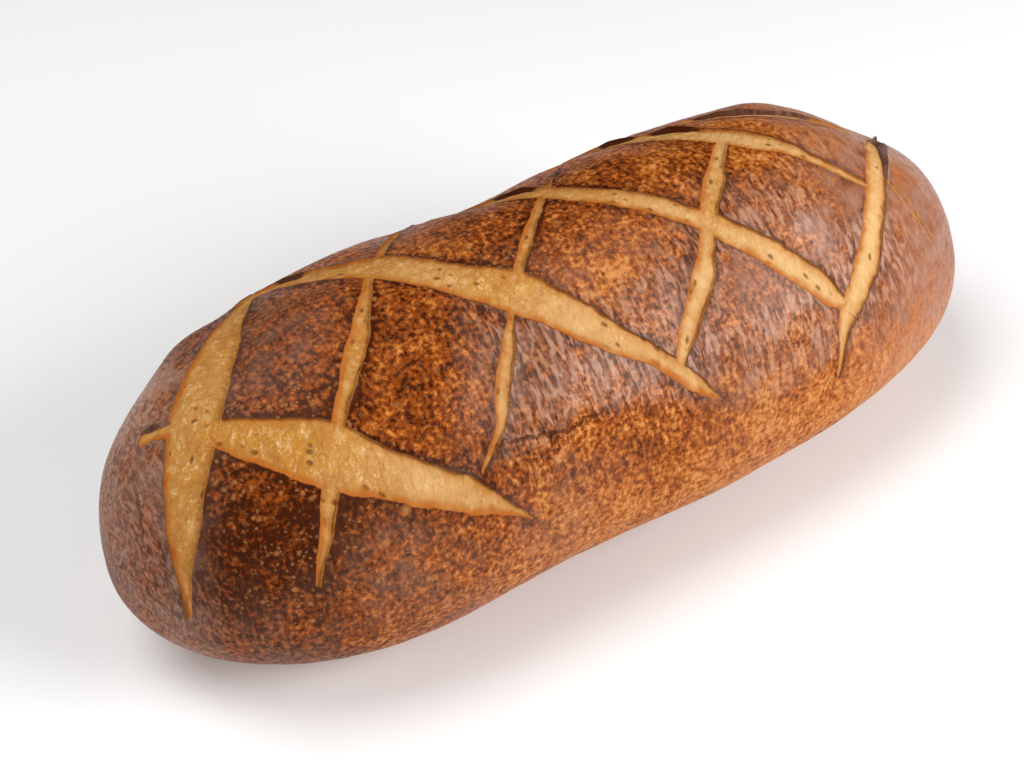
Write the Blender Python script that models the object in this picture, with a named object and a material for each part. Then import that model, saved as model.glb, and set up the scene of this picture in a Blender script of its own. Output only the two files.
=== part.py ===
"""Vienna loaf: a long rounded hearth loaf, scored across its crown with two crossing sets of cuts.

The loaf is one solid. An outer crust is lofted from cross sections along X, each a round crown over a
tucked-in underside and a flat sole. Ten leaf-shaped cuts go through the crust, and a slightly smaller
loft of the same form, joined in, is the open crumb that floors them.

Frame: metres, +Z up. X runs along the loaf, -Y is its front, and the origin is under the middle, on the
surface that the loaf rests on.
"""

import math
from collections import namedtuple

import bmesh
import bpy
import numpy as np

MM = 0.001

# Driving dimensions of the whole loaf.
LENGTH = 0.330
WIDTH = 0.134
HEIGHT = 0.115
BELLY_HEIGHT = 0.0415  # height of the widest line above the sole
CROWN_POWER = 1.9  # superellipse power of a section above the belly
UNDERSIDE_POWER = 1.75  # the same below the belly
UNDERSIDE_DROP = 1.25  # the underside would reach this many belly heights down, if the sole didn't cut it off
STEEPEST_UNDERSIDE = math.radians(80)  # the furthest that the underside curls in before the sole
SMALLEST_SECTION = 0.05  # size of the sections at the two tips, as a share of the middle section

# How each end closes: the share of full width at s is (1 - s**taper) ** (1 / width_root), where s runs
# from 0 at the middle to 1 at the tip. The height uses height_root.
End = namedtuple("End", "taper width_root height_root")
LEFT_END = End(taper=4.4, width_root=1.85, height_root=2.0)
RIGHT_END = End(taper=3.3, width_root=2.25, height_root=1.95)

# A shallow hollow in the dough, or a swelling where its depth is negative, fading with the distance from its
# middle as exp(-(distance / reach)**2). Lengths are in millimetres.
Dent = namedtuple("Dent", "name x y z reach depth")
DENTS = (
    Dent("front waist", -32, -60, 23, 40, 2.8),
    Dent("crown saddle", -4, 42, 98, 23, 3.4),
    Dent("right shoulder", 136, 10, 90, 22, 4.0),
    Dent("left shoulder", -136, 37, 78, 24, 1.8),
    Dent("right end", 156, -20, 62, 32, 1.2),
    Dent("back right", 62, 40, 98, 24, 0.7),
    Dent("left underside", -132, -44, 23, 34, 1.5),
    Dent("right crown swelling", 103, 27, 96, 12, -1.8),
    Dent("left crown swelling", -90, 47, 88, 15, -1.3),
    Dent("left corner swelling", -119, 37, 90, 10, -1.5),
    Dent("lower left swelling", -163, -4, 36, 14, -0.5),
)
FLAT_HEIGHT = 0.007  # dents fade out below this height, so that the sole stays flat

# A cut, laid out on a plan of the loaf whose steep flanks are unrolled. Its chord crosses the middle line of
# the loaf at crown_x and points backwards along heading (degrees from +X towards +Y). The cut starts that
# far along the chord from the middle line. left and right are the places of its two edges across the chord,
# positive towards +X, at stations 10 mm apart from its front tip to its back tip. Lengths are in millimetres.
Cut = namedtuple("Cut", "name crown_x heading start left right")
STATION = 10
CUTS = (
    Cut("left_falling", -137.5, 143, -109,
        (-0.5, -4.3, -8.2, -11.6, -14, -15.8, -17, -15.8, -13.9, -10.8, -6.7, -3.6, -1.2),
        (0, -1, -2, -3.5, -4, -2.8, -1, -2, -2.4, -2.2, -0.5, 1.6, 2.8)),
    Cut("second_falling", -52.5, 139, -102,
        (5, -0.5, -3, -4.5, -7.2, -8, -8, -8, -7.5, -6.5, -5, -3.5, -2, -1.5, -0.5, 0.5, 1, 2, 3, 4.5),
        (3, 2.2, 1.7, 1, 1.5, 3.3, 5, 7.2, 6, 6, 7.8, 9.8, 10, 9.3, 8.5, 8, 7.5, 6.5, 5.5, 4.5)),
    Cut("middle_falling", 13, 137.5, -90,
        (4, -1, -3.1, -3.9, -4, -3.5, -3, -3, -2.6, -2.5, -1.5, 0.5, 1, 1.5, 2, 2.5, 3.5, 5.5),
        (4.5, 5.4, 5, 4.5, 4.4, 4.5, 4.5, 5, 5.1, 5.1, 6.5, 8.5, 9, 9, 8.5, 8, 7, 5.5)),
    Cut("fourth_falling", 77, 137, -45,
        (0, -2.2, -2.9, -3.7, -5.7, -6, -5.2, -4.9, -4, -3, -2, -1, 1),
        (2, 1.4, 1.6, 3.6, 4.5, 5, 5, 5, 5, 4.5, 4, 3, 1)),
    Cut("right_falling", 108, 152, -20,
        (6, 3.5, 4.5, 5, 5.5, 5.5, 6, 7.5),
        (6, 8, 9.5, 10, 10.5, 10.5, 10, 7.5)),
    Cut("left_rising", -123, 48.5, -45,
        (-3.2, -7.4, -9.6, -11.2, -11.8, -11.3, -9.5, -8.4, -6.6, -5.2, -2),
        (-0.6, 3.3, 5.3, 6.4, 6.6, 6.4, 5.7, 3.9, 2.3, 1, -1.5)),
    Cut("second_rising", -66.5, 46.5, -76,
        (-2, -1.6, -2, -1.8, -1.9, -2.5, -2.5, -3, -4, -4, -4.5, -4.5, -4.5, -4, -2.5),
        (-0.4, 2.6, 3.6, 2.6, 3, 4, 3.6, 1.6, -0.5, -1, -1.4, -1, -1, -1.5, -2.5)),
    Cut("middle_rising", -7.5, 47, -79,
        (-2.8, -0.3, -1.6, -1.6, -1.2, -2, -2.6, -2.5, -2, -1.5, -1, -0.5, 0.5),
        (-2.1, 2.2, 2.9, 2.9, 1, 1, 1, 1.5, 1.5, 1.5, 1.5, 1, 0.5)),
    Cut("fourth_rising", 68, 44, -80,
        (-1.8, -2, -1.4, -0.7, -1.3, -3.1, -3.4, -3.1, -2.7, -1.5),
        (0.8, 3.2, 5.3, 5.8, 4.2, 3.4, 3.6, 2.3, 1.4, 0.5)),
    Cut("right_rising", 139, 42.5, -95,
        (1.9, -1.2, 0.2, 1.5, 1.6, 0.9, -0.1, -1.2, -1.8, -2.1, -1.7),
        (3, 3.2, 6.4, 9.2, 9, 8.4, 7.4, 6.1, 4.8, 3.3, -0.5)),
)
NARROWEST = 0.3 * MM  # where the edges are closer than this, the cut has closed to a point
STEEP_SHARE = 0.9  # share of the half width beyond which the plan of the cuts unrolls down the flank
LOWEST_TIP = math.radians(8)  # no cut reaches below this angle above the belly line
CUT_DEPTH = 0.0042  # from the plain form down to the crumb
CUTTER_FOOT = 0.046  # the cutters start at this height, below the lowest tip of a cut
CUTTER_TOP = 0.130

# The crust swells up into a low cushion between the cuts, and drops by this much beside them.
SWELL = 0.0014
SWELL_REACH = 0.011
SWELL_RISE = 0.035  # the swelling fades in over this height above the belly

# Mesh fineness.
RINGS = 54
CROWN_STEPS = 40
UNDERSIDE_STEPS = 5
SOLE_STEPS = 4
OUTLINE_SAMPLES = 2001

CRUST_COLOUR = (0.30, 0.105, 0.030, 1.0)
CRUMB_COLOUR = (0.56, 0.30, 0.095, 1.0)
CRUST_ROUGHNESS = 0.42
CRUMB_ROUGHNESS = 0.85
SHARP_ANGLE = math.radians(25)


def clear_scene():
    """Removes whatever the scene starts with."""
    for obj in list(bpy.data.objects):
        bpy.data.objects.remove(obj, do_unlink=True)


def baked_material(name, colour, roughness):
    """A plain Principled material for baked dough."""
    material = bpy.data.materials.new(name)
    material.use_nodes = True
    shader = material.node_tree.nodes["Principled BSDF"]
    shader.inputs["Base Color"].default_value = colour
    shader.inputs["Roughness"].default_value = roughness
    shader.inputs["Metallic"].default_value = 0.0
    return material


def end_shares(x, half_length):
    """Shares of the full half width and height left at x, as (1 - s**taper) ** (1 / root)."""
    s = np.clip(np.abs(x) / half_length, 0.0, 1.0)
    shares = []
    for root in ("width_root", "height_root"):
        left = (1.0 - s**LEFT_END.taper) ** (1.0 / getattr(LEFT_END, root))
        right = (1.0 - s**RIGHT_END.taper) ** (1.0 / getattr(RIGHT_END, root))
        shares.append(np.maximum(np.where(x < 0.0, left, right), SMALLEST_SECTION))
    return shares


def ring_places(half_length):
    """Places of the sections along X, evenly far apart along the outline seen from above and the side."""
    x = half_length * np.sin(np.linspace(-math.pi / 2, math.pi / 2, OUTLINE_SAMPLES))
    wide, high = end_shares(x, half_length)
    steps = np.sqrt(
        np.diff(x) ** 2 + (np.diff(wide) * WIDTH / 2) ** 2 + (np.diff(high) * (HEIGHT - BELLY_HEIGHT)) ** 2
    )
    along = np.concatenate([[0.0], np.cumsum(steps)])
    return np.interp(np.linspace(0.0, along[-1], RINGS), along, x)


def section(wide, high, inset):
    """One closed cross section as (y, z) rows: the crown, the underside on each side, and the sole.

    wide and high are the shares of the full size at this place. Above the belly a point at angle a is at
    half_width * cos(a) ** (2 / power) and crown * sin(a) ** (2 / power), and below it the same with the
    underside's power, down to where the sole cuts it off.
    """
    half_width = (WIDTH / 2 - inset) * wide
    crown = (HEIGHT - inset - BELLY_HEIGHT) * high
    belly_drop = BELLY_HEIGHT - inset
    reach = UNDERSIDE_DROP * belly_drop * high
    level_sine = min(belly_drop / reach, 1.0) ** (UNDERSIDE_POWER / 2)
    sole_angle = min(math.asin(level_sine), STEEPEST_UNDERSIDE)

    up = np.linspace(0.0, math.pi, CROWN_STEPS + 1)
    crown_y = half_width * np.sign(np.cos(up)) * np.abs(np.cos(up)) ** (2 / CROWN_POWER)
    crown_z = BELLY_HEIGHT + crown * np.sin(up) ** (2 / CROWN_POWER)

    down = np.linspace(0.0, sole_angle, UNDERSIDE_STEPS + 1)[1:]
    under_y = half_width * np.cos(down) ** (2 / UNDERSIDE_POWER)
    under_z = BELLY_HEIGHT - reach * np.sin(down) ** (2 / UNDERSIDE_POWER)
    sole_y = np.linspace(-under_y[-1], under_y[-1], SOLE_STEPS + 1)[1:-1]
    sole_z = np.full(len(sole_y), under_z[-1])

    y = np.concatenate([crown_y, -under_y, sole_y, under_y[::-1]])
    z = np.concatenate([crown_z, under_z, sole_z, under_z[::-1]])
    return np.stack([y, z], axis=1)


def rolled_up(places):
    """True plan places of places on the plan whose steep flanks are unrolled.

    Up to the steep share of the half width the two plans agree. Beyond it the unrolled plan goes on evenly
    with the angle r above the belly line, while the true share of the half width is cos(r) ** (2 / power).
    """
    x, y = places.T
    half_width = WIDTH / 2 * end_shares(x, LENGTH / 2)[0]
    share = np.abs(y) / half_width
    root = 2 / CROWN_POWER
    turn = math.acos(STEEP_SHARE ** (1 / root))
    fall = root * math.cos(turn) ** (root - 1) * math.sin(turn)
    risen = np.maximum(turn - (share - STEEP_SHARE) / fall, LOWEST_TIP)
    share = np.where(share < STEEP_SHARE, share, np.cos(np.minimum(risen, turn)) ** root)
    return np.stack([x, np.sign(y) * share * half_width], axis=1)


def cut_edges(cut):
    """The left and the right edge of a cut as rows of true plan places, one row at each station."""
    heading = math.radians(cut.heading)
    along = np.array([math.cos(heading), math.sin(heading)])
    right = np.array([along[1], -along[0]])
    stations = cut.start + STATION * np.arange(len(cut.left))
    spine = np.array([cut.crown_x, 0.0]) + stations[:, None] * along
    left_side, right_side = np.minimum(cut.left, cut.right), np.maximum(cut.left, cut.right)
    return [rolled_up((spine + side[:, None] * right) * MM) for side in (left_side, right_side)]


def beside_cut(places, cut):
    """Distance in plan from places to a cut, 0 inside it.

    The cut is taken as a chain of circles on the line halfway between its edges.
    """
    left_edge, right_edge = cut_edges(cut)
    spine = (left_edge + right_edge) / 2
    radius = np.linalg.norm(right_edge - left_edge, axis=1) / 2
    nearest = np.full(len(places), LENGTH)
    for start, step, small, growth in zip(spine, np.diff(spine, axis=0), radius, np.diff(radius)):
        share = np.clip((places - start) @ step / (step @ step), 0.0, 1.0)
        away = np.linalg.norm(places - start - share[:, None] * step, axis=1)
        nearest = np.minimum(nearest, away - small - share * growth)
    return np.maximum(nearest, 0.0)


def drop_beside_cuts(points):
    """How far the crust lies below its cushion at each point: SWELL at a cut, fading over SWELL_REACH."""
    nearest = np.min([beside_cut(points[:, :2], cut) for cut in CUTS], axis=0)
    on_crown = np.clip((points[:, 2] - BELLY_HEIGHT) / SWELL_RISE, 0.0, 1.0)
    return SWELL * on_crown * np.exp(-((nearest / SWELL_REACH) ** 2))


def dent_depth(points):
    """How far all the dents together press points in."""
    depth = np.zeros(len(points))
    for dent in DENTS:
        middle = np.array([dent.x, dent.y, dent.z]) * MM
        far = ((points - middle) ** 2).sum(axis=1) / (dent.reach * MM) ** 2
        depth += dent.depth * MM * np.exp(-far)
    return depth * np.clip(points[:, 2] / FLAT_HEIGHT, 0.0, 1.0)


def loft(name, inset, cushioned, material):
    """A closed body through all the sections, its surface inset from the loaf's outside."""
    half_length = LENGTH / 2 - inset
    places = ring_places(half_length)
    wide, high = end_shares(places, half_length)
    mesh = bpy.data.meshes.new(name)
    shape = bmesh.new()
    rings = []
    for x, share_wide, share_high in zip(places, wide, high):
        outline = section(share_wide, share_high, inset)
        points = np.column_stack([np.full(len(outline), x), outline])
        outward = points - np.array([x, 0.0, BELLY_HEIGHT])
        outward /= np.linalg.norm(outward, axis=1)[:, None]
        drop = dent_depth(points)
        if cushioned:
            drop += drop_beside_cuts(points)
        points -= outward * drop[:, None]
        verts = [shape.verts.new(point) for point in points]
        rings.append([shape.edges.new((a, b)) for a, b in zip(verts, verts[1:] + verts[:1])])
    for ring, following in zip(rings, rings[1:]):
        bmesh.ops.bridge_loops(shape, edges=ring + following)
    for tip in (rings[0], rings[-1]):
        bmesh.ops.edgeloop_fill(shape, edges=tip)
    bmesh.ops.recalc_face_normals(shape, faces=shape.faces)
    shape.to_mesh(mesh)
    shape.free()
    mesh.materials.append(material)
    mesh.shade_smooth()
    mesh.set_sharp_from_angle(angle=SHARP_ANGLE)
    body = bpy.data.objects.new(name, mesh)
    bpy.context.scene.collection.objects.link(body)
    return body


def cutter(cut, material):
    """An upright prism on the cut's leaf-shaped outline, as it is seen from above."""
    left_edge, right_edge = cut_edges(cut)
    apart = np.linalg.norm(right_edge - left_edge, axis=1) > NARROWEST
    mesh = bpy.data.meshes.new(cut.name)
    shape = bmesh.new()
    corners = list(right_edge) + list(left_edge[apart][::-1])
    foot = shape.faces.new([shape.verts.new((x, y, CUTTER_FOOT)) for x, y in corners])
    risen = bmesh.ops.extrude_face_region(shape, geom=[foot])["geom"]
    top = [item for item in risen if isinstance(item, bmesh.types.BMVert)]
    bmesh.ops.translate(shape, verts=top, vec=(0.0, 0.0, CUTTER_TOP - CUTTER_FOOT))
    bmesh.ops.recalc_face_normals(shape, faces=shape.faces)
    shape.to_mesh(mesh)
    shape.free()
    mesh.materials.append(material)
    tool = bpy.data.objects.new(cut.name, mesh)
    bpy.context.scene.collection.objects.link(tool)
    return tool


def use_as_helper(obj):
    """Keeps a cutter or an inner body out of the finished loaf's own shapes."""
    obj.hide_render = True
    obj.display_type = "WIRE"


def join_by(obj, helper, operation):
    """Adds a Boolean of obj with helper."""
    modifier = obj.modifiers.new(helper.name, "BOOLEAN")
    modifier.object = helper
    modifier.operation = operation
    modifier.solver = "EXACT"
    use_as_helper(helper)


def build_loaf():
    """The crust, cut by every cutter and joined with the open crumb inside it."""
    crust = baked_material("crust", CRUST_COLOUR, CRUST_ROUGHNESS)
    crumb = baked_material("crumb", CRUMB_COLOUR, CRUMB_ROUGHNESS)
    loaf = loft("loaf", 0.0, True, crust)
    for cut in CUTS:
        join_by(loaf, cutter(cut, crumb), "DIFFERENCE")
    join_by(loaf, loft("open_crumb", CUT_DEPTH, False, crumb), "UNION")
    return loaf


clear_scene()
build_loaf()
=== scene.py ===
"""Looks of a Vienna loaf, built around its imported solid.

The crust is one closed skin with sunk channels where the loaf was scored. Each channel holds an inlay: a
closed strip whose top is the rolled lip of the crust, the torn wall below it and the open golden crumb.
Skin and inlays share the same height function, so they meet without a seam.
"""

import math
from collections import namedtuple

import bpy
import numpy as np
from bpy.props import FloatProperty, FloatVectorProperty, PointerProperty
from mathutils import Matrix, Vector


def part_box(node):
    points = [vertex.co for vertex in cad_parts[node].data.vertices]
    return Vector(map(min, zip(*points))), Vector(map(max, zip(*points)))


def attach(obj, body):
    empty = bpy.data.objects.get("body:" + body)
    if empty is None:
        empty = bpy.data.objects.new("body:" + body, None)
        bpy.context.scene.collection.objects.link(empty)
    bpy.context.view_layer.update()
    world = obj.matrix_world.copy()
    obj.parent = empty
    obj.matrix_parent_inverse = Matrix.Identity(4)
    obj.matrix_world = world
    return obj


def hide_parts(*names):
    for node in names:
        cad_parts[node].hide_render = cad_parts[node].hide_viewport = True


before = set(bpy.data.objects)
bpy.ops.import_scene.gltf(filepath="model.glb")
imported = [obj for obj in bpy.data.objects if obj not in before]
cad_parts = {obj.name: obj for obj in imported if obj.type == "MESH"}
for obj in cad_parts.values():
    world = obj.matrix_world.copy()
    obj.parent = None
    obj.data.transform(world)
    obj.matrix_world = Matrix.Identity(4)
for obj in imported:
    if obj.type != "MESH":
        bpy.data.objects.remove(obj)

bl_info = {
    "name": "Vienna loaf looks",
    "version": (1, 0, 0),
    "blender": (4, 5, 0),
    "location": "View3D > Sidebar > Loaf",
    "description": "Crust, scored cuts and crumb of a Vienna loaf, with a plain stage",
    "category": "Object",
}

NODE = "loaf"
BODY = "root"
BOX_LOW, BOX_HIGH = (np.array(corner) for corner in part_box(NODE))
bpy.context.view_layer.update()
MM = 0.001
SIZE_TOLERANCE = 3.0 * MM
HALF_LENGTH = 165.0 * MM  # the length over which the bake changes from the middle to a tip
FAR = 1.0  # stands for the distance to something out of reach

STEEP_SHARE = 0.9  # share of the half width beyond which the plan of the cuts unrolls down the flank
LOWEST_TURN = 0.7  # the furthest angle below the belly line that the plan reaches
LOWEST_CUT = 0.5  # share of the belly's height below which no cut reaches
FULL_CUSHION = 1.2  # share of it above which the swelling between the cuts is full
LEAST_SLANT = 0.4  # the least cosine by which a length on the surface is taken to shrink in plan

# How finely the meshes are divided.
TABLE_POINTS = 4001
SKIN_CELLS = 74  # cells along each side of the square grid that closes an end of the skin
SKIN_RINGS = 298  # steps from ring to ring between those grids
CAP_REACH = 44.0 * MM  # how far each grid reaches from its tip
INLAY_STEP = 0.48 * MM
SPINE_POINTS = 1500
INSIDE_COLUMNS = 29
INLAY_MARGINS = np.array([0.11, 0.24, 0.4, 0.6, 0.85, 1.15, 1.5, 1.95, 2.45, 3.0, 3.6, 4.3, 5.2]) * MM
LEAST_HALF_WIDTH = 0.25 * MM  # of the open part of an inlay's grid, at its tips
EDGE_STEP = 0.2 * MM  # length over which the direction of the margins is found
FOOT_DEPTH = 6.0 * MM  # how far the foot of an inlay lies in the loaf

# How the skin and the inlays lie over each other near a cut.
MARGIN_SINK = 0.6 * MM  # how far the skin lies under the margins of an inlay
CUT_SINK = 4.0 * MM  # how much further it lies under the cut itself
INLAY_RISE = 0.05 * MM  # how far an inlay stands above the skin's own height
INLAY_TUCK = 0.13 * MM  # how far its margins go down again, to end in the skin
CROSSING_SINK = 0.2 * MM  # how far a rising cut's inlay lies under a falling one's

# How each end closes: the share of full width at s is (1 - s**taper) ** (1 / width_root), where s runs
# from 0 at the middle to 1 at the tip. The height uses height_root.
End = namedtuple("End", "taper width_root height_root")
LEFT_END = End(taper=4.4, width_root=1.85, height_root=2.0)
RIGHT_END = End(taper=3.3, width_root=2.25, height_root=1.95)

# A cut in plan. Its chord crosses the middle line of the loaf at crown_x and points backwards along heading
# (degrees from +X towards +Y). The cut starts that far along the chord from the middle line. left and right
# are the places of its two edges across the chord, positive towards +X, at stations 10 mm apart from its
# front tip to its back tip. Lengths are in millimetres.
Cut = namedtuple("Cut", "name crown_x heading start left right")
STATION = 10
FALLING_CUTS = (
    Cut("left falling", -137.5, 143, -109,
        (-0.5, -4.3, -8.2, -11.6, -14, -15.8, -17, -15.8, -13.9, -10.8, -6.7, -3.6, -1.2),
        (0, -1, -2, -3.5, -4, -2.8, -1, -2, -2.4, -2.2, -0.5, 1.6, 2.8)),
    Cut("second falling", -52.5, 139, -102,
        (5, -0.5, -3, -4.5, -7.2, -8, -8, -8, -7.5, -6.5, -5, -3.5, -2, -1.5, -0.5, 0.5, 1, 2, 3, 4.5),
        (3, 2.2, 1.7, 1, 1.5, 3.3, 5, 7.2, 6, 6, 7.8, 9.8, 10, 9.3, 8.5, 8, 7.5, 6.5, 5.5, 4.5)),
    Cut("middle falling", 13, 137.5, -90,
        (4, -1, -3.1, -3.9, -4, -3.5, -3, -3, -2.6, -2.5, -1.5, 0.5, 1, 1.5, 2, 2.5, 3.5, 5.5),
        (4.5, 5.4, 5, 4.5, 4.4, 4.5, 4.5, 5, 5.1, 5.1, 6.5, 8.5, 9, 9, 8.5, 8, 7, 5.5)),
    Cut("fourth falling", 77, 137, -45,
        (0, -2.2, -2.9, -3.7, -5.7, -6, -5.2, -4.9, -4, -3, -2, -1, 1),
        (2, 1.4, 1.6, 3.6, 4.5, 5, 5, 5, 5, 4.5, 4, 3, 1)),
    Cut("right falling", 108, 152, -20,
        (6, 3.5, 4.5, 5, 5.5, 5.5, 6, 7.5),
        (6, 8, 9.5, 10, 10.5, 10.5, 10, 7.5)),
)
RISING_CUTS = (
    Cut("left rising", -123, 48.5, -45,
        (-3.2, -7.4, -9.6, -11.2, -11.8, -11.3, -9.5, -8.4, -6.6, -5.2, -2),
        (-0.6, 3.3, 5.3, 6.4, 6.6, 6.4, 5.7, 3.9, 2.3, 1, -1.5)),
    Cut("second rising", -66.5, 46.5, -76,
        (-2, -1.6, -2, -1.8, -1.9, -2.5, -2.5, -3, -4, -4, -4.5, -4.5, -4.5, -4, -2.5),
        (-0.4, 2.6, 3.6, 2.6, 3, 4, 3.6, 1.6, -0.5, -1, -1.4, -1, -1, -1.5, -2.5)),
    Cut("middle rising", -7.5, 47, -79,
        (-2.8, -0.3, -1.6, -1.6, -1.2, -2, -2.6, -2.5, -2, -1.5, -1, -0.5, 0.5),
        (-2.1, 2.2, 2.9, 2.9, 1, 1, 1, 1.5, 1.5, 1.5, 1.5, 1, 0.5)),
    Cut("fourth rising", 68, 44, -80,
        (-1.8, -2, -1.4, -0.7, -1.3, -3.1, -3.4, -3.1, -2.7, -1.5),
        (0.8, 3.2, 5.3, 5.8, 4.2, 3.4, 3.6, 2.3, 1.4, 0.5)),
    Cut("right rising", 139, 42.5, -95,
        (1.9, -1.2, 0.2, 1.5, 1.6, 0.9, -0.1, -1.2, -1.8, -2.1, -1.7),
        (3, 3.2, 6.4, 9.2, 9, 8.4, 7.4, 6.1, 4.8, 3.3, -0.5)),
)
ALL_CUTS = FALLING_CUTS + RISING_CUTS

WAVERS = ((17.0, 0.16), (8.5, 0.10), (4.3, 0.06), (2.1, 0.03))  # wavelength and size of an edge's waver

# The crumb's floor across a cut.
NARROW_CUT = 2.2 * MM  # a cut of this half width is about two thirds as deep as a wide one
WIDE_CUT = 6.0 * MM  # in one of this half width the crumb has bulged about two thirds of the way
MIDDLE_DEPTH = 0.60 * MM
MIDDLE_BULGE = 0.80 * MM
LOW_WALL = 0.45  # share of the wall's depth on a cut's left side
WALL_POWER = 2.6  # how close to the walls the crumb goes down

# The crust at a cut's edges.
LIP_MIDDLE = 0.75  # share of the lip's height about which it varies
LEAST_LIP = 0.1
LEFT_LIP = 0.15  # share of the lip's height on a cut's left side
LEFT_WALL = 2.6  # how many times as wide the wall is on that side
EAR_THICKNESS = 1.1 * MM
EAR_BAKE = 4.0 * MM  # the height of ear that would be a whole bake level darker
BARE_EAR = (0.2 * MM, 0.8 * MM)  # heights of ear over which its speckle goes
SOLE_FADE = 7.0 * MM  # height above the sole over which the relief sets in

# A place where the crust's lip stands up beside a cut: how far along the chord, over what reach, how high.
# Lengths are in millimetres.
Ear = namedtuple("Ear", "cut s reach height")
EARS = (
    Ear("right rising", -15, 12, 2.4),
    Ear("right rising", 1, 3, 2.2),
    Ear("right falling", 8, 9, 0.9),
    Ear("right falling", 27, 12, 1.4),
    Ear("fourth falling", 24, 8, 1.1),
    Ear("fourth falling", 44, 6, 0.9),
    Ear("middle falling", 26, 7, 1.0),
    Ear("second falling", 42, 6, 0.6),
    Ear("left falling", 5, 5, 1.2),
)

# A fine crack in the crust: its corners on the unrolled plan in millimetres, and whether pale crumb shows in
# it (1) or it is dark with painted shade (0).
Crack = namedtuple("Crack", "name corners pale")
CRACKS = (
    Crack("right end", ((118, -24), (121, -29), (122.4, -35), (125.2, -40), (128, -44), (132, -48)), 1),
    Crack("beside it", ((132, -43), (129.4, -41), (126.4, -37.2), (124.5, -32.7), (122, -27)), 1),
    Crack("front flank", ((-58, -53), (-53, -53), (-45, -54.2), (-35, -55.5), (-28, -55.4), (-20.8, -55.2),
                          (-15, -56.5)), 0),
    Crack("left end", ((-152.7, -5), (-154, -10), (-155.5, -12.4), (-157, -14.5)), 0),
)

# A shallow hollow in the dough, or a swelling where its depth is negative, fading with the distance from its
# middle as exp(-(distance / reach)**2). Lengths are in millimetres.
Dent = namedtuple("Dent", "name x y z reach depth")
DENTS = (
    Dent("front waist", -32, -60, 23, 40, 2.8),
    Dent("crown saddle", -4, 42, 98, 23, 3.4),
    Dent("right shoulder", 136, 10, 90, 22, 4.0),
    Dent("left shoulder", -136, 37, 78, 24, 1.8),
    Dent("right end", 156, -20, 62, 32, 1.2),
    Dent("back right", 62, 40, 98, 24, 0.7),
    Dent("left underside", -132, -44, 23, 34, 1.5),
    Dent("right crown swelling", 103, 27, 96, 12, -1.8),
    Dent("left crown swelling", -90, 47, 88, 15, -1.3),
    Dent("left corner swelling", -119, 37, 90, 10, -1.5),
    Dent("lower left swelling", -163, -4, 36, 14, -0.5),
)

# A round spot in the crust: how much darker it is baked in its middle, and how much more painted sheen it has
# there.
# It fades as a dent does. Lengths are in millimetres.
Spot = namedtuple("Spot", "name x y z reach bake film")
SPOTS = (
    Spot("dark under the widest cut", -121, -42, 80, 24, 0.24, 0.0),
    Spot("pale front left", -98, -60, 63, 17, -0.10, 0.9),
    Spot("golden front", -27, -54, 82, 7, -0.35, -0.8),
    Spot("golden below a tip", 0, -60, 71, 8, -0.20, 0.0),
    Spot("golden crown", 2, -30, 107, 6, -0.30, -0.5),
    Spot("dark crown edge", -30, 0, 112, 12, 0.15, 0.0),
    Spot("left bottom", -135, -50, 36, 22, 0.14, 0.7),
    Spot("filmy left shoulder", -132, 18, 95, 16, -0.05, 1.4),
    Spot("purple between the first cuts", -98, 3, 109, 26, 0.22, 0.9),
    Spot("filmy ridge", -45, 28, 108, 22, -0.15, 0.9),
    Spot("golden between the far cuts", 80, 2, 111, 21, -0.32, -1.0),
    Spot("dark left end", -152, 0, 70, 30, 0.10, 0.0),
    Spot("clear panel", -68, -22, 103, 20, 0.06, -0.8),
    Spot("brown right end", 152, -14, 55, 40, 0.22, 0.3),
    Spot("filmy right shoulder", 138, 0, 88, 24, -0.12, 1.2),
    Spot("film between the far cuts", 76, -36, 91, 24, 0.0, 0.7),
    Spot("pale right front", 35, -62, 46, 24, 0.0, 0.5),
    Spot("pale lower front", -75, -62, 30, 26, -0.05, 0.7),
    Spot("pale middle front", -38, -62, 52, 24, -0.12, 0.7),
    Spot("sheen on the front", -28, -38, 97, 18, -0.08, 0.3),
)

# Bake levels, from 0 golden to 1 mahogany.
MIDDLE_BAKE = 0.62
BAKE_SLOPE = -0.17  # change from the middle to the right tip
BAKE_BEND = 0.12  # how much darker both tips are than that slope gives
LOW_SIDE_BAKE = -0.32  # change on the lower sides
SOLE_BAKE = 0.55
# the most painted sheen that a place can have
MOST_PAINTED_SHEEN = 2.8
LEAST_SPECKLE = 0.15

# A random field: its grain in millimetres, its share of a sum, and its seed.
Layer = namedtuple("Layer", "grain share seed")
LUMP_LAYERS = (Layer(60, 0.35, 11), Layer(26, 0.35, 12), Layer(11, 0.15, 13), Layer(5, 0.08, 14))
LIP_LAYERS = (Layer(9, 0.55, 21), Layer(3.5, 0.30, 22))
TEAR_LAYERS = (Layer(2.2, 0.14, 31), Layer(1.1, 0.10, 32), Layer(6, 0.25, 33))
BAKE_LAYERS = (Layer(34, 0.13, 41), Layer(13, 0.10, 42))
WRINKLE_LAYERS = (Layer(24, 1.0, 51),)
PALENESS_LAYERS = (Layer(16, 0.22, 61),)

# Bake levels over which each colour of crust gives way to the next.
TO_AMBER = (0.02, 0.40)
TO_CHESTNUT = (0.36, 0.68)
TO_MAHOGANY = (0.64, 1.20)

# Dots of starch: the size of their cells, where that pattern starts, the share of cells left empty, and the
# least and greatest radius as a share of a cell.
Dots = namedtuple("Dots", "size start empty least greatest")
FINE_DOTS = (Dots(2.9 * MM, 0.0, 0.30, 0.14, 0.32), Dots(1.8 * MM, 0.35, 0.35, 0.16, 0.36))
LARGE_DOTS = Dots(9.5 * MM, 0.61, 0.84, 0.08, 0.16)
DOT_CROWD = 11.0 * MM  # size of the patches in which the fine dots crowd
BLISTER_COVER = 0.75
LARGE_COVER = 0.75

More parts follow.
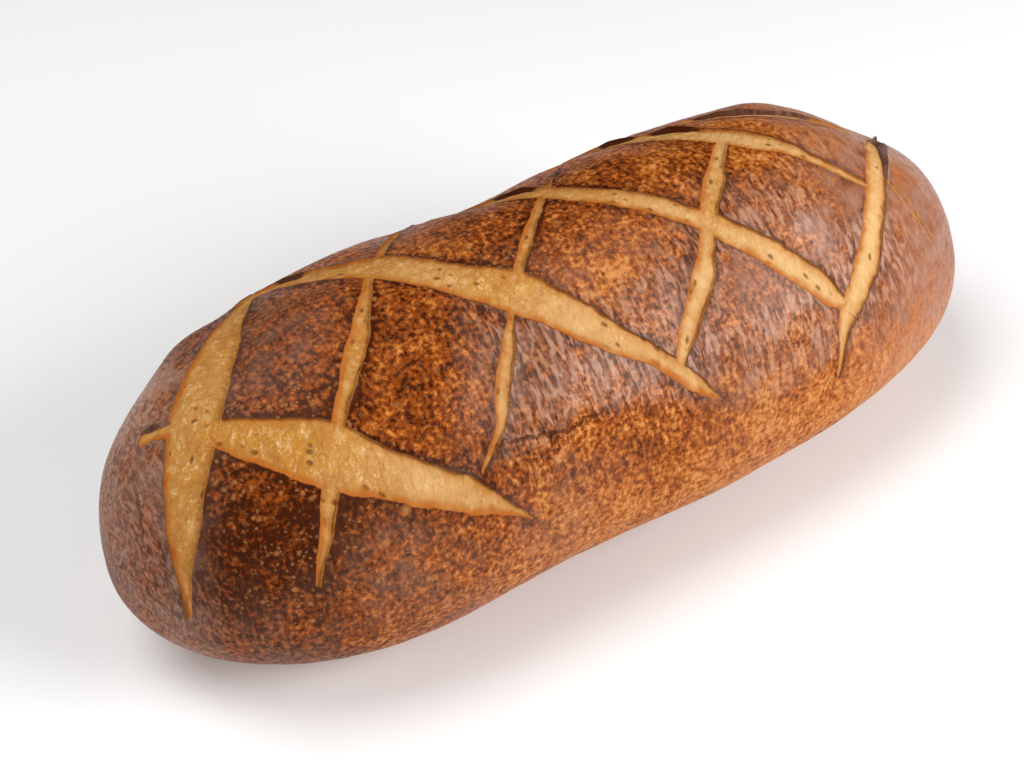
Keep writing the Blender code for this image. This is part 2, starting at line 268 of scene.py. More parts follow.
# The crust beside a cut, the wrinkles and the cracks.
SCORCH_REACH = 3.8 * MM  # how far from a cut the crust is baked darker
SCORCH = 0.36
LIP_SHADE_AND_SCORCH = 0.30  # how much darker still it is on the lipped side, close to the edge: partly scorching, partly painted shadow under the lip
WRINKLE_STRETCH = 0.36  # width of a wrinkle as a share of its length round the loaf
WRINKLE_RELIEF = 11.0  # height of the wrinkles, where that of a blister is 1
CRACK_HALF_WIDTH = 0.32 * MM
CRACK_RELIEF = 1.2

# Sizes of the crumb's streaks, grain, patches, crackle and pores.
CRUMB_STREAK = 1.5 * MM
CRUMB_GRAIN = 0.9 * MM
CRUMB_PATCH = 6.0 * MM
CRACKLE_CELL = 3.4 * MM
PORE_CELL = 2.4 * MM
LIPPED_RIM = 1.3 * MM  # how much further the dark rim reaches on the lipped side, partly as painted shadow under the lip

# Gloss.
SPECULAR_LEVEL = 0.035
COAT_ROUGHNESS = 0.30
CRUMB_ROUGHNESS = 0.7

# The stage. A softbox is a square of that side. It stands that far from the lit place, at an azimuth in
# degrees from +X towards +Y and an elevation in degrees.
Softbox = namedtuple("Softbox", "name azimuth elevation distance side")
SOFTBOXES = (
    Softbox("key", -50.0, 26.0, 1.2, 0.62),
    Softbox("top", 150.0, 68.0, 1.3, 0.8),
    Softbox("left", 175.0, 22.0, 1.4, 0.9),
)
LIT_PLACE = Vector((0.0, 0.0, 0.05))
FLOOR_SIDE = 12.0
CAMERA_PLACE = Vector((-0.23616, -0.36308, 0.44335))
CAMERA_FORWARD = Vector((0.37617, 0.62720, -0.68200))
CAMERA_UP = Vector((0.38996, 0.56053, 0.73058))
WHITE = (1.0, 1.0, 1.0, 1.0)


def length_setting(name, description, default):
    """A setting that holds a length."""
    return FloatProperty(name=name, description=description, unit="LENGTH", default=default)


def number_setting(name, description, default):
    """A setting that holds a plain number."""
    return FloatProperty(name=name, description=description, default=default)


def power_setting(name, description, default):
    """A setting that holds a light's power."""
    return FloatProperty(name=name, description=description, unit="POWER", default=default)


def colour_setting(name, description, default):
    """A setting that holds an opaque colour, given as its red, green and blue."""
    return FloatVectorProperty(name=name, description=description, subtype="COLOR", size=4, min=0.0, max=1.0,
                               default=(*default, 1.0))


class LoafForm(bpy.types.PropertyGroup):
    """Outer form of the loaf and the relief of its crust."""

    length: length_setting("Length", "Tip to tip", 0.330)
    width: length_setting("Width", "Across the belly, undented", 0.134)
    height: length_setting("Height", "Sole to crown, over the cushions", 0.115)
    belly_height: length_setting("Belly height", "Height of the widest line", 0.0415)
    crown_power: number_setting("Crown power", "Superellipse power above the belly", 1.9)
    underside_power: number_setting("Underside power", "Superellipse power below the belly", 1.75)
    underside_drop: number_setting("Underside drop", "Depth of the underside in belly heights", 1.25)
    sole_rounding: length_setting("Sole rounding", "Softness of the sole's rim", 1.2 * MM)
    cushion: length_setting("Cushion", "Swelling of the crust between cuts", 1.5 * MM)
    cushion_reach: length_setting("Cushion reach", "How fast the crust swells", 11.0 * MM)
    lip: length_setting("Lip", "Height of the crust's rolled lip at a cut", 0.55 * MM)
    lip_reach: length_setting("Lip reach", "How far the lip reaches back", 1.6 * MM)
    wall_depth: length_setting("Wall depth", "Drop from the lip to the crumb", 0.85 * MM)
    wall_width: length_setting("Wall width", "Width over which the wall drops", 0.38 * MM)
    lumps: length_setting("Lumps", "Size of the crust's broad unevenness", 0.9 * MM)


class CrustLook(bpy.types.PropertyGroup):
    """Colours, grain and gloss of the crust and the crumb."""

    golden: colour_setting("Golden crust", "Least baked crust, on the lower sides", (0.50, 0.192, 0.052))
    amber: colour_setting("Amber crust", "Lightly baked crust", (0.37, 0.102, 0.015))
    chestnut: colour_setting("Chestnut crust", "Well baked crust", (0.215, 0.046, 0.006))
    mahogany: colour_setting("Mahogany crust", "Darkest crust", (0.052, 0.010, 0.002))
    blister: colour_setting("Blisters", "Pale starch blisters", (0.58, 0.235, 0.070))
    # Painted sheen: a greyish colour mixed over the crust where the lights would shine on it.
    bloom: colour_setting("Bloom", "Greyish film of dried starch", (0.40, 0.215, 0.145))
    crumb: colour_setting("Crumb", "Open crumb in the cuts", (0.50, 0.220, 0.036))
    pale_crumb: colour_setting("Pale crumb", "Whitest streaks of the crumb", (0.68, 0.43, 0.20))
    dark_crumb: colour_setting("Dark crumb", "Darkest streaks of the crumb", (0.42, 0.160, 0.022))
    warm_crumb: colour_setting("Warm crumb", "Broad patches of the crumb", (0.43, 0.175, 0.028))
    edge_crumb: colour_setting("Edge crumb", "Crumb near the edges of a cut", (0.43, 0.165, 0.025))
    crackle: colour_setting("Crackle", "Fine seams in the crumb", (0.34, 0.125, 0.020))
    # The pores' dark colour is painted shade in the holes.
    pore: colour_setting("Pores", "Holes in the crumb", (0.13, 0.045, 0.008))
    # The darker rim on the lipped side is partly toasted crust, partly painted shadow under the lip.
    toast_and_lip_shade: colour_setting("Toasted rim", "Rim where the crust lips over the crumb", (0.27, 0.060, 0.011))
    light_toast: colour_setting("Light rim", "Rim on the side without a lip", (0.40, 0.105, 0.014))
    patch_size: length_setting("Patches", "Size of the crust's broad patches", 10.0 * MM)
    patchiness: number_setting("Patchiness", "Swing of the bake level from patch to patch", 0.45)
    mottle_size: length_setting("Mottle", "Size of the crust's mottles", 3.4 * MM)
    mottling: number_setting("Mottling", "Swing of the bake level from mottle to mottle", 0.40)
    grain_size: length_setting("Grain", "Size of the crust's fine grain", 1.6 * MM)
    graininess: number_setting("Graininess", "Swing of the bake level from grain to grain", 0.95)
    streak_size: length_setting("Streaks", "Width of the crust's wrinkles", 2.0 * MM)
    # Painted highlight and shade on the wrinkles: the swing makes their ridges paler and their grooves
    # darker.
    wrinkle_shading: number_setting("Streakiness", "Swing of the bake level from wrinkle to wrinkle", 1.1)
    rim_reach: length_setting("Rim reach", "How far the toasted rim reaches into a cut", 2.9 * MM)
    relief: length_setting("Fine relief", "Depth of the finest relief", 0.25 * MM)


class StageLook(bpy.types.PropertyGroup):
    """Camera and lights."""

    lens: number_setting("Lens", "Focal length in millimetres", 60.0)
    key_power: power_setting("Key", "Softbox at the front right", 16.5)
    top_power: power_setting("Top", "Softbox overhead, left", 10.0)
    left_power: power_setting("Left", "Weak softbox at the left", 8.0)
    room: number_setting("Room", "Strength of the pale surroundings", 0.10)


# ---------------------------------------------------------------- smooth random fields


def lattice_noise(points, size, seed):
    """Random field in -1..1, smooth at the given size.

    Each point takes the eight random values at the corners of its lattice cell, mixed along each axis with
    the weight 6t^5 - 15t^4 + 10t^3.
    """
    period = 64
    table = np.random.default_rng(seed).uniform(-1.0, 1.0, (period, period, period))
    scaled = points / size
    cell = np.floor(scaled).astype(int)
    t = scaled - cell
    weight = t * t * t * (t * (t * 6.0 - 15.0) + 10.0)
    total = 0.0
    for corner in range(8):
        step = np.array([corner & 1, corner >> 1 & 1, corner >> 2 & 1])
        share = np.prod(np.where(step, weight, 1.0 - weight), axis=-1)
        i, j, k = np.moveaxis((cell + step) % period, -1, 0)
        total = total + share * table[i, j, k]
    return total


def layered(points, layers):
    """Sum of random fields, each with its own grain, share and seed."""
    return sum(layer.share * lattice_noise(points, layer.grain * MM, layer.seed) for layer in layers)


def fading(points, place):
    """exp(-(distance / reach)**2) from the middle of a dent or a spot."""
    middle = np.array([place.x, place.y, place.z]) * MM
    return np.exp(-((points - middle) ** 2).sum(axis=-1) / (place.reach * MM) ** 2)


def smooth_step(low, high, value):
    """0 below low, 1 above high, and 3t^2 - 2t^3 between."""
    t = np.clip((value - low) / (high - low), 0.0, 1.0)
    return t * t * (3.0 - 2.0 * t)


# ---------------------------------------------------------------- the loaf as a surface


def end_shares(form, x):
    """Shares of full width and height at x, (1 - s**taper) ** (1 / root), and their slopes along x."""
    s = np.clip(np.abs(x) * 2.0 / form.length, 0.0, 1.0 - 1e-9)
    shares = []
    for root in ("width_root", "height_root"):
        per_end = []
        for end in (LEFT_END, RIGHT_END):
            left_over = 1.0 - s**end.taper
            power = 1.0 / getattr(end, root)
            share = left_over**power
            slope = -power * end.taper * s ** (end.taper - 1.0) * left_over ** (power - 1.0)
            per_end.append((share, slope * np.sign(x) * 2.0 / form.length))
        shares += [np.where(x < 0.0, left, right) for left, right in zip(*per_end)]
    return shares


def loaf_surface(form, x, angle):
    """Points and outward normals of the plain loaf at places x along it and angles round it.

    The angle is 0 at the back belly, a quarter turn at the crown and a half turn at the front belly. A
    section is |y / w|**p + |(z - belly) / h|**p = 1, with its own p and h above and below the belly, and
    what lies under the sole is pressed up to it by the soft maximum (z + sqrt(z*z + r*r)) / 2.
    """
    wide, wide_slope, high, high_slope = end_shares(form, x)
    above = np.sin(angle) >= 0.0
    power = np.where(above, form.crown_power, form.underside_power)
    crown = form.height - form.belly_height
    drop = form.belly_height * form.underside_drop
    tall = np.where(above, crown, drop)
    half_width = form.width / 2.0

    cosine, sine = np.cos(angle), np.sin(angle)
    y = half_width * wide * np.sign(cosine) * np.abs(cosine) ** (2.0 / power)
    rise = tall * high * np.sign(sine) * np.abs(sine) ** (2.0 / power)
    slope_x = -(cosine**2 * wide_slope * half_width + sine**2 * high_slope / high * wide * half_width)
    slope_y = np.sign(cosine) * np.abs(cosine) ** (2.0 - 2.0 / power)
    slope_z = np.sign(sine) * np.abs(sine) ** (2.0 - 2.0 / power) * half_width * wide / (tall * high)

    z = form.belly_height + rise
    rounded = np.sqrt(z * z + form.sole_rounding**2)
    freedom = (1.0 + z / rounded) / 2.0
    points = np.stack([x + 0.0 * y, y, (z + rounded) / 2.0], axis=-1)
    normals = np.stack([slope_x * freedom, slope_y * freedom, slope_z], axis=-1)
    return points, normals / np.linalg.norm(normals, axis=-1, keepdims=True)


def station_table(form):
    """Places x along the loaf and the length of outline from the left tip to each of them."""
    x = form.length / 2.0 * np.sin(np.linspace(-math.pi / 2, math.pi / 2, TABLE_POINTS))
    wide, _, high, _ = end_shares(form, x)
    steps = np.stack([x, wide * form.width / 2.0, high * (form.height - form.belly_height)])
    lengths = np.sqrt((np.diff(steps, axis=1) ** 2).sum(axis=0))
    return x, np.concatenate([[0.0], np.cumsum(lengths)])


def girth_table(form):
    """Angles round the middle section and the girth from the back belly to each of them."""
    angle = np.linspace(0.0, 2.0 * math.pi, TABLE_POINTS)
    points, _ = loaf_surface(form, np.zeros_like(angle), angle)
    lengths = np.linalg.norm(np.diff(points, axis=0), axis=1)
    return angle, np.concatenate([[0.0], np.cumsum(lengths)])


def steep_turn(form):
    """The angle above the belly at the steep share, and how fast the share falls with the angle there."""
    root = 2.0 / form.crown_power
    turn = math.acos(STEEP_SHARE ** (1.0 / root))
    return turn, root * math.cos(turn) ** (root - 1.0) * math.sin(turn)


def plan_place(form, x, angle):
    """Places (x, y) on a plan of the loaf whose steep flanks are unrolled.

    With r the angle above the nearer belly line, y is the half width times cos(r)**(2 / p) down to the steep
    share, and below that it goes on in a straight line with r, so that the flank doesn't crowd together.
    """
    turn, fall = steep_turn(form)
    risen = np.arcsin(np.sin(angle))
    share = np.where(
        risen > turn, np.abs(np.cos(angle)) ** (2.0 / form.crown_power), STEEP_SHARE + fall * (turn - risen)
    )
    y = np.sign(np.cos(angle)) * share * form.width / 2.0 * end_shares(form, x)[0]
    return np.stack([x + 0.0 * angle, y], axis=-1)


def crown_angle(form, x, y):
    """The angle round the section at x whose place on the unrolled plan is y."""
    turn, fall = steep_turn(form)
    share = np.abs(y) / (form.width / 2.0 * end_shares(form, x)[0])
    flat = np.arccos(np.minimum(share, STEEP_SHARE) ** (form.crown_power / 2.0))
    risen = np.where(share < STEEP_SHARE, flat, np.maximum(turn - (share - STEEP_SHARE) / fall, -LOWEST_TURN))
    return np.where(y > 0.0, risen, math.pi - risen)


# ---------------------------------------------------------------- the cuts


def chord_frame(cut):
    """Unit vectors of a cut in plan: backwards along its chord, and to its right, which is towards +X."""
    heading = math.radians(cut.heading)
    along = np.array([math.cos(heading), math.sin(heading)])
    return along, np.array([along[1], -along[0]])


def cut_reach(cut):
    """Places of the front and back tip along a cut's chord."""
    return cut.start * MM, (cut.start + STATION * (len(cut.left) - 1)) * MM


def smooth_curve(values, place):
    """The Catmull-Rom curve through equally spaced values, at places counted in stations."""
    padded = np.concatenate([values[:1], values, values[-1:]])
    cell = np.clip(np.floor(place).astype(int), 0, len(values) - 2)
    t = np.clip(place - cell, 0.0, 1.0)
    before, low, high, after = (padded[cell + k] for k in range(4))
    square = 2.0 * before - 5.0 * low + 4.0 * high - after
    cube = 3.0 * (low - high) + after - before
    return low + ((high - before) * t + (square * t**2 + cube * t**3)) / 2.0


def cut_edges(cut, s):
    """Places of a cut's left and right edge across its chord, at places s along it.

    Each is a smooth curve through its stations, plus a waver of four sine waves that fades where the cut is
    under two millimetres wide.
    """
    place = (s / MM - cut.start) / STATION
    left, right = (smooth_curve(np.array(edge), place) for edge in (cut.left, cut.right))
    freedom = np.clip((right - left) / 2.0, 0.0, 1.0)
    phases = np.random.default_rng(int(abs(cut.crown_x) * 10)).uniform(0.0, 2.0 * math.pi, (2, len(WAVERS)))
    left, right = (
        edge + freedom * sum(
            size * np.sin(2.0 * math.pi * s / (wave * MM) + phase) for (wave, size), phase in zip(WAVERS, row)
        )
        for edge, row in ((left, phases[0]), (right, phases[1]))
    )
    crossed = np.maximum(left - right, 0.0) / 2.0
    return (left - crossed) * MM, (right + crossed) * MM


def slant(normals, right):
    """How much shorter a length across a cut is in plan than on the surface, sqrt(1 - (n . right)**2)."""
    steepness = normals[..., :2] @ right
    return np.sqrt(np.maximum(1.0 - steepness**2, LEAST_SLANT**2))


def cut_fields(form, cut, place, points, normals):
    """Distance on the surface to a cut's edge, its half width, and the place across and along it.

    The distance is negative inside. Beside the cut it is the distance in plan d = |t - centre| - half,
    divided by the slant. Past a tip, and on the underside, it is the straight distance to the nearer tip.
    The place across is -1 at the left edge and 1 at the right one.
    """
    along, right = chord_frame(cut)
    x, y = place[..., 0] - cut.crown_x * MM, place[..., 1]
    s = x * along[0] + y * along[1]
    t = x * right[0] + y * right[1]
    left_edge, right_edge = cut_edges(cut, s)
    half = (right_edge - left_edge) / 2.0
    across = t - (right_edge + left_edge) / 2.0
    beside = (np.abs(across) - half) / slant(normals, right)
    to_tip = np.full(s.shape, FAR)
    front, back = cut_reach(cut)
    for tip_s in (front, back):
        tip_t = sum(cut_edges(cut, np.array([tip_s]))) / 2.0
        tip = np.array([[cut.crown_x * MM, 0.0]]) + tip_s * along + tip_t[:, None] * right
        tip_point, _ = loaf_surface(form, tip[:, 0], crown_angle(form, tip[:, 0], tip[:, 1]))
        to_tip = np.minimum(to_tip, np.linalg.norm(points - tip_point[0], axis=-1))
    past_tip = (s < front) | (s > back) | (points[..., 2] < LOWEST_CUT * form.belly_height)
    return np.where(past_tip, to_tip, beside), half, across / np.maximum(half, 1e-6), s


def scoring(form, place, points, normals):
    """How the cuts shape points of the plain crown, whose places on the unrolled plan are given.

    Returns the distance to the nearest cut edge, negative inside, the crumb's floor, how far the place lies
    on the lipped side of its cut (0 left edge, 1 right edge), and the height of any ear.

    At the edges of a cut the crumb lies wall_depth down, and less on the left side. In the middle it lies a
    little down where the cut is narrow, and comes up level with the crust where it is wide. Near a tip both
    depths go to nothing. Where two cuts cross, the higher floor wins.
    """
    nearest = np.full(points.shape[:-1], FAR)
    floor = np.full(points.shape[:-1], -form.wall_depth)
    lipped = np.zeros(points.shape[:-1])
    ear = np.zeros(points.shape[:-1])
    for cut in ALL_CUTS:
        distance, half, across, s = cut_fields(form, cut, place, points, normals)
        right_side = smooth_step(-0.7, 0.7, across)
        roominess = 1.0 - np.exp(-half / NARROW_CUT)
        at_wall = form.wall_depth * roominess * (LOW_WALL + (1.0 - LOW_WALL) * right_side)
        bulge = MIDDLE_BULGE * (1.0 - np.exp(-((half / WIDE_CUT) ** 2)))
        at_middle = MIDDLE_DEPTH * roominess - bulge
        side = np.minimum(np.abs(across), 1.0) ** WALL_POWER
        depth = at_wall * side + at_middle * (1.0 - side)
        floor = np.where(distance < 0.0, np.maximum(floor, -depth), floor)
        lipped = np.where(distance < nearest, right_side, lipped)
        nearest = np.minimum(nearest, distance)
        near = np.exp(-np.maximum(distance, 0.0) / EAR_THICKNESS)
        for raised in (raised for raised in EARS if raised.cut == cut.name):
            share = np.exp(-(((s / MM - raised.s) / raised.reach) ** 2))
            ear = np.maximum(ear, raised.height * MM * share * near * right_side)
    return nearest, floor, lipped, ear


def crack_fields(place):
    """Signed distance in plan to the nearest crack, how open it is there, and how pale.

    A crack opens from 0 at its ends to 1 a fifth of its length from them.
    """
    nearest = np.full(place.shape[:-1], FAR)
    fields = np.zeros((*place.shape[:-1], 3))
    for crack in CRACKS:
        corners = np.array(crack.corners) * MM
        steps = np.diff(corners, axis=0)
        lengths = np.linalg.norm(steps, axis=1)
        walked = 0.0
        for corner, step, length in zip(corners, steps, lengths):
            away = place - corner
            share = np.clip(away @ step / length**2, 0.0, 1.0)
            distance = np.linalg.norm(away - share[..., None] * step, axis=-1)
            side = np.sign(step[0] * away[..., 1] - step[1] * away[..., 0])
            along = (walked + share * length) / lengths.sum()
            opened = np.clip(5.0 * np.minimum(along, 1.0 - along), 0.0, 1.0) + 0.0 * distance
            found = np.stack([side * distance, opened, crack.pale + 0.0 * distance], axis=-1)
            fields = np.where((distance < nearest)[..., None], found, fields)
            nearest = np.minimum(nearest, distance)
            walked += length
    return fields


def crust_lumps(form, points):
    """Broad unevenness of the dough: random fields of four grains, and the named dents."""
    lumps = form.lumps * layered(points, LUMP_LAYERS)
    for dent in DENTS:
        lumps = lumps - dent.depth * MM * fading(points, dent)
    return lumps


def relief(form, x, angle):
    """Points and normals of the plain loaf, the height of its crust and crumb over it, and attributes."""
    points, normals = loaf_surface(form, x, angle)
    place = plan_place(form, x, angle)
    nearest, floor, lipped, ear = scoring(form, place, points, normals)
    belly = form.belly_height
    on_crown = smooth_step(LOWEST_CUT * belly, FULL_CUSHION * belly, points[..., 2])
    outside = np.maximum(nearest, 0.0)
    hollow = -form.cushion * np.exp(-((outside / form.cushion_reach) ** 2)) * on_crown
    roll = np.maximum(LIP_MIDDLE + layered(points, LIP_LAYERS), LEAST_LIP)
    side = LEFT_LIP + (1.0 - LEFT_LIP) * lipped
    lip = form.lip * roll * side * np.exp(-outside / form.lip_reach)
    crumb = floor + layered(points, TEAR_LAYERS) * MM
    wall = form.wall_width * (LEFT_WALL - (LEFT_WALL - 1.0) * lipped)
    kept = smooth_step(-wall, 0.0, nearest)
    height = hollow + (lip + ear) * kept + crumb * (1.0 - kept)
    freedom = smooth_step(0.0, SOLE_FADE, points[..., 2])
    attributes = {
        "edge_distance": nearest,
        "lipped": lipped,
        "bake": bake_level(points, normals) + ear / EAR_BAKE,
        "wrinkle": wrinkle_level(points),
        "speckle": speckle_level(points) * (1.0 - smooth_step(*BARE_EAR, ear)),
        "bloom": painted_sheen_level(points),
        "paleness": crumb_paleness_and_light(points),
        "ear": ear / MM,
        "crack": crack_fields(place),
    }
    return points, normals, (height + crust_lumps(form, points)) * freedom, attributes


# ---------------------------------------------------------------- how well each place is baked


def spot_sum(points, quality):
    """Sum over the spots of one of their qualities, each fading away from its middle."""
    return sum(getattr(spot, quality) * fading(points, spot) for spot in SPOTS)


def bake_level(points, normals):
    """How dark the crust is baked, 0 golden to 1 mahogany.

    It is darkest at the left end and palest on the lower sides between the ends. Random patches and the named
    spots vary it. The sole has its own level.
    """
    along = points[..., 0] / HALF_LENGTH
    level = MIDDLE_BAKE + BAKE_SLOPE * along + BAKE_BEND * along**2
    low = smooth_step(0.080, 0.030, points[..., 2])
    level = level + LOW_SIDE_BAKE * low * smooth_step(-0.75, -0.1, along) * smooth_step(1.1, 0.6, along)
    level = level + spot_sum(points, "bake") + layered(points, BAKE_LAYERS)
    sole = smooth_step(-0.5, -0.95, normals[..., 2])
    return level * (1.0 - sole) + SOLE_BAKE * sole


def wrinkle_level(points):
    """How far the crust is wrinkled, from 0 smooth to 1.

    It is most on the front flank, just below the cuts, less at the left end, and least at the right end.
    """
    x, y, z = np.moveaxis(points, -1, 0)
    flank = smooth_step(-0.070, -0.040, x) * smooth_step(0.130, 0.095, x) * smooth_step(0.005, -0.030, y)
    high = smooth_step(0.055, 0.080, z)
    patch = smooth_step(-0.35, 0.25, layered(points, WRINKLE_LAYERS))
    base = 0.20 + 0.25 * smooth_step(-0.130, -0.150, x) - 0.14 * smooth_step(0.090, 0.125, x)
    return np.clip(base + 0.80 * flank * high * patch, 0.0, 1.0)


def painted_sheen_level(points):
    """How much painted sheen greys the crust, from 0 to the most that a place can have.

    It lies on the front flank below the crown and at both ends, and the named spots add to it or clear it.
    """
    x, y, z = np.moveaxis(points, -1, 0)
    lower_rim = 0.081 - 0.020 * smooth_step(-0.015, 0.040, x)
    above_rim = smooth_step(-0.005, 0.004, z - lower_rim)
    flank = smooth_step(0.002, -0.038, y) * smooth_step(-0.085, -0.040, x) * above_rim
    right_end = 1.9 * smooth_step(0.055, 0.125, x) * smooth_step(0.015, 0.050, z)
    left_end = 1.3 * smooth_step(-0.112, -0.140, x) * smooth_step(-0.045, -0.015, y - x - 0.145)
    most = np.maximum(np.maximum(flank, right_end), left_end)
    return np.clip(most + spot_sum(points, "film"), 0.0, MOST_PAINTED_SHEEN)


def crumb_paleness_and_light(points):
    """How pale the open crumb is, 0 golden to 1: most on the front flank and at the right end.

    There it is partly the crumb's own colour and partly painted light from the key softbox.
    """
    x, y, _ = np.moveaxis(points, -1, 0)
    front = smooth_step(-0.020, -0.050, y) * smooth_step(-0.110, -0.060, x)
    right = smooth_step(-0.040, 0.100, x)
    left = smooth_step(-0.095, -0.135, x)
    level = 0.22 - 0.12 * left + 0.50 * front + 0.45 * right
    return np.clip(level + layered(points, PALENESS_LAYERS), 0.0, 1.0)


def speckle_level(points):
    """How strongly the crust is speckled: fully over the crown, less low in front and at the smooth ends."""
    x, y, z = np.moveaxis(points, -1, 0)
    right_end = 0.85 * smooth_step(0.060, 0.130, x)
    left_end = 0.5 * smooth_step(-0.135, -0.155, x) * smooth_step(-0.045, -0.015, y)
    low_front = 0.2 * smooth_step(0.075, 0.055, z) * smooth_step(-0.080, -0.020, x)
    return np.clip(1.0 - right_end - left_end - low_front, LEAST_SPECKLE, 1.0)


# ---------------------------------------------------------------- meshes


def skin_place(form, x, angle):
    """Place on the skin as lengths along the loaf and round it from the middle of the sole, for patterns."""
    stations, lengths = station_table(form)
    angles, girths = girth_table(form)
    round_it = np.interp((angle + math.pi / 2.0) % (2.0 * math.pi), angles, girths)
    return np.stack([np.interp(x, stations, lengths), round_it], axis=-1)


def face_normals_at(points, faces):
    """At each point, the sum of the crossed diagonals of its faces of four corners, made one long."""
    first, second, third, fourth = (points[faces[:, k]] for k in range(4))
    crossed = np.cross(third - first, fourth - second)
    total = np.zeros_like(points)
    for k in range(4):
        np.add.at(total, faces[:, k], crossed)
    return total / np.maximum(np.linalg.norm(total, axis=1, keepdims=True), 1e-12)


def make_piece(name, points, faces, attributes, normals):
    """A smooth mesh object with its own normals, and attributes of one or three numbers for each point."""
    mesh = bpy.data.meshes.new(name)
    mesh.vertices.add(len(points))
    mesh.vertices.foreach_set("co", points.astype(np.float32).ravel())
    sizes = np.array([len(block[0]) for block in faces for _ in range(len(block))])
    corners = np.concatenate([block.ravel() for block in faces])
    mesh.loops.add(len(corners))
    mesh.loops.foreach_set("vertex_index", corners.astype(np.int32))
    mesh.polygons.add(len(sizes))
    mesh.polygons.foreach_set("loop_start", np.concatenate([[0], np.cumsum(sizes)[:-1]]).astype(np.int32))
    for label, values in attributes.items():
        kind, field = ("FLOAT_VECTOR", "vector") if values.ndim == 2 else ("FLOAT", "value")
        layer = mesh.attributes.new(label, kind, "POINT")
        layer.data.foreach_set(field, values.astype(np.float32).ravel())
    mesh.update(calc_edges=True)
    mesh.validate()
    mesh.shade_smooth()
    mesh.normals_split_custom_set_from_vertices(normals.tolist())
    piece = bpy.data.objects.new(name, mesh)
    bpy.context.scene.collection.objects.link(piece)
    return piece


def skin_grid(form, cells, rings):
    """Places (x, angle) of a closed skin without poles, and its faces.

    Rings of 4 * cells points run along the loaf. Each end is closed by a square grid of cells by cells,
    whose nested squares are the rings between the last one and the tip. The points of a ring crowd on the
    crown, where they stand at half the distance of those on the underside.
    """
    stations, lengths = station_table(form)
    angles, girths = girth_table(form)
    crown_share = np.where(angles < math.pi, 1.0, 0.5)
    weighted = np.concatenate([[0.0], np.cumsum(np.diff(girths) * (crown_share[1:] + crown_share[:-1]) / 2)])
    total = weighted[-1]
    crown_girth = np.interp(math.pi, angles, weighted)
    first_corner = (crown_girth - 1.5 * total / 2.0) / 2.0

    def ring_angle(k):
        place = (first_corner + k / (4.0 * cells) * total) % total
        return np.interp(place, weighted, angles)

    ring_x = np.interp(np.linspace(CAP_REACH, lengths[-1] - CAP_REACH, rings + 1), lengths, stations)
    ring_k = np.arange(4 * cells)
    x = np.repeat(ring_x[:, None], 4 * cells, axis=1).ravel()
    angle = np.tile(ring_angle(ring_k), rings + 1)

    here = np.arange(rings)[:, None] * 4 * cells + ring_k[None, :]
    beside = np.arange(rings)[:, None] * 4 * cells + (ring_k[None, :] + 1) % (4 * cells)
    faces = [np.stack([here, beside, beside + 4 * cells, here + 4 * cells], axis=-1).reshape(-1, 4)]

    a, b = np.meshgrid(np.linspace(-1, 1, cells + 1), np.linspace(-1, 1, cells + 1), indexing="ij")
    ring = np.maximum(np.abs(a), np.abs(b))
    safe = np.where(ring > 0, ring, 1.0)
    u, v = a / safe, b / safe
    k = np.select(
        [(u >= 1.0 - 1e-9) & (v < 1.0 - 1e-9), (v >= 1.0 - 1e-9) & (u > -1.0 + 1e-9), u <= -1.0 + 1e-9],
        [(v + 1.0) / 2.0 * cells, cells + (1.0 - u) / 2.0 * cells, 2 * cells + (1.0 - v) / 2.0 * cells],
        3 * cells + (u + 1.0) / 2.0 * cells,
    )
    inner = ring < 1.0 - 1e-9
    rim = np.rint(k).astype(int) % (4 * cells)
    for end, ring_start in ((0, 0), (1, rings * 4 * cells)):
        index = np.where(inner, 0, ring_start + rim)
        index[inner] = len(x) + np.arange(inner.sum())
        reach = ring[inner] * CAP_REACH
        place = reach if end == 0 else lengths[-1] - reach
        x = np.concatenate([x, np.interp(place, lengths, stations)])
        angle = np.concatenate([angle, ring_angle(k[inner])])
        quads = np.stack([index[:-1, :-1], index[1:, :-1], index[1:, 1:], index[:-1, 1:]], axis=-1)
        quads = quads.reshape(-1, 4)
        faces.append(quads[:, ::-1] if end == 0 else quads)
    return x, angle, faces


def build_skin(form):
    """The closed crust: the plain loaf raised along its normals by the relief, sunk under the inlays.

    It is shaded as if it weren't sunk, so that no line shows where an inlay comes out of it.
    """
    x, angle, faces = skin_grid(form, SKIN_CELLS, SKIN_RINGS)
    points, normals, height, attributes = relief(form, x, angle)
    nearest = attributes["edge_distance"]
    shading = face_normals_at(points + normals * height[:, None], np.concatenate(faces))
    height = height - MARGIN_SINK * smooth_step(4.2 * MM, 2.6 * MM, nearest)
    height = height - CUT_SINK * smooth_step(1.5 * MM, -0.5 * MM, nearest)
    attributes["skin"] = np.pad(skin_place(form, x, angle), ((0, 0), (0, 1)))
    return make_piece("loaf_crust", points + normals * height[:, None], faces, attributes, shading)


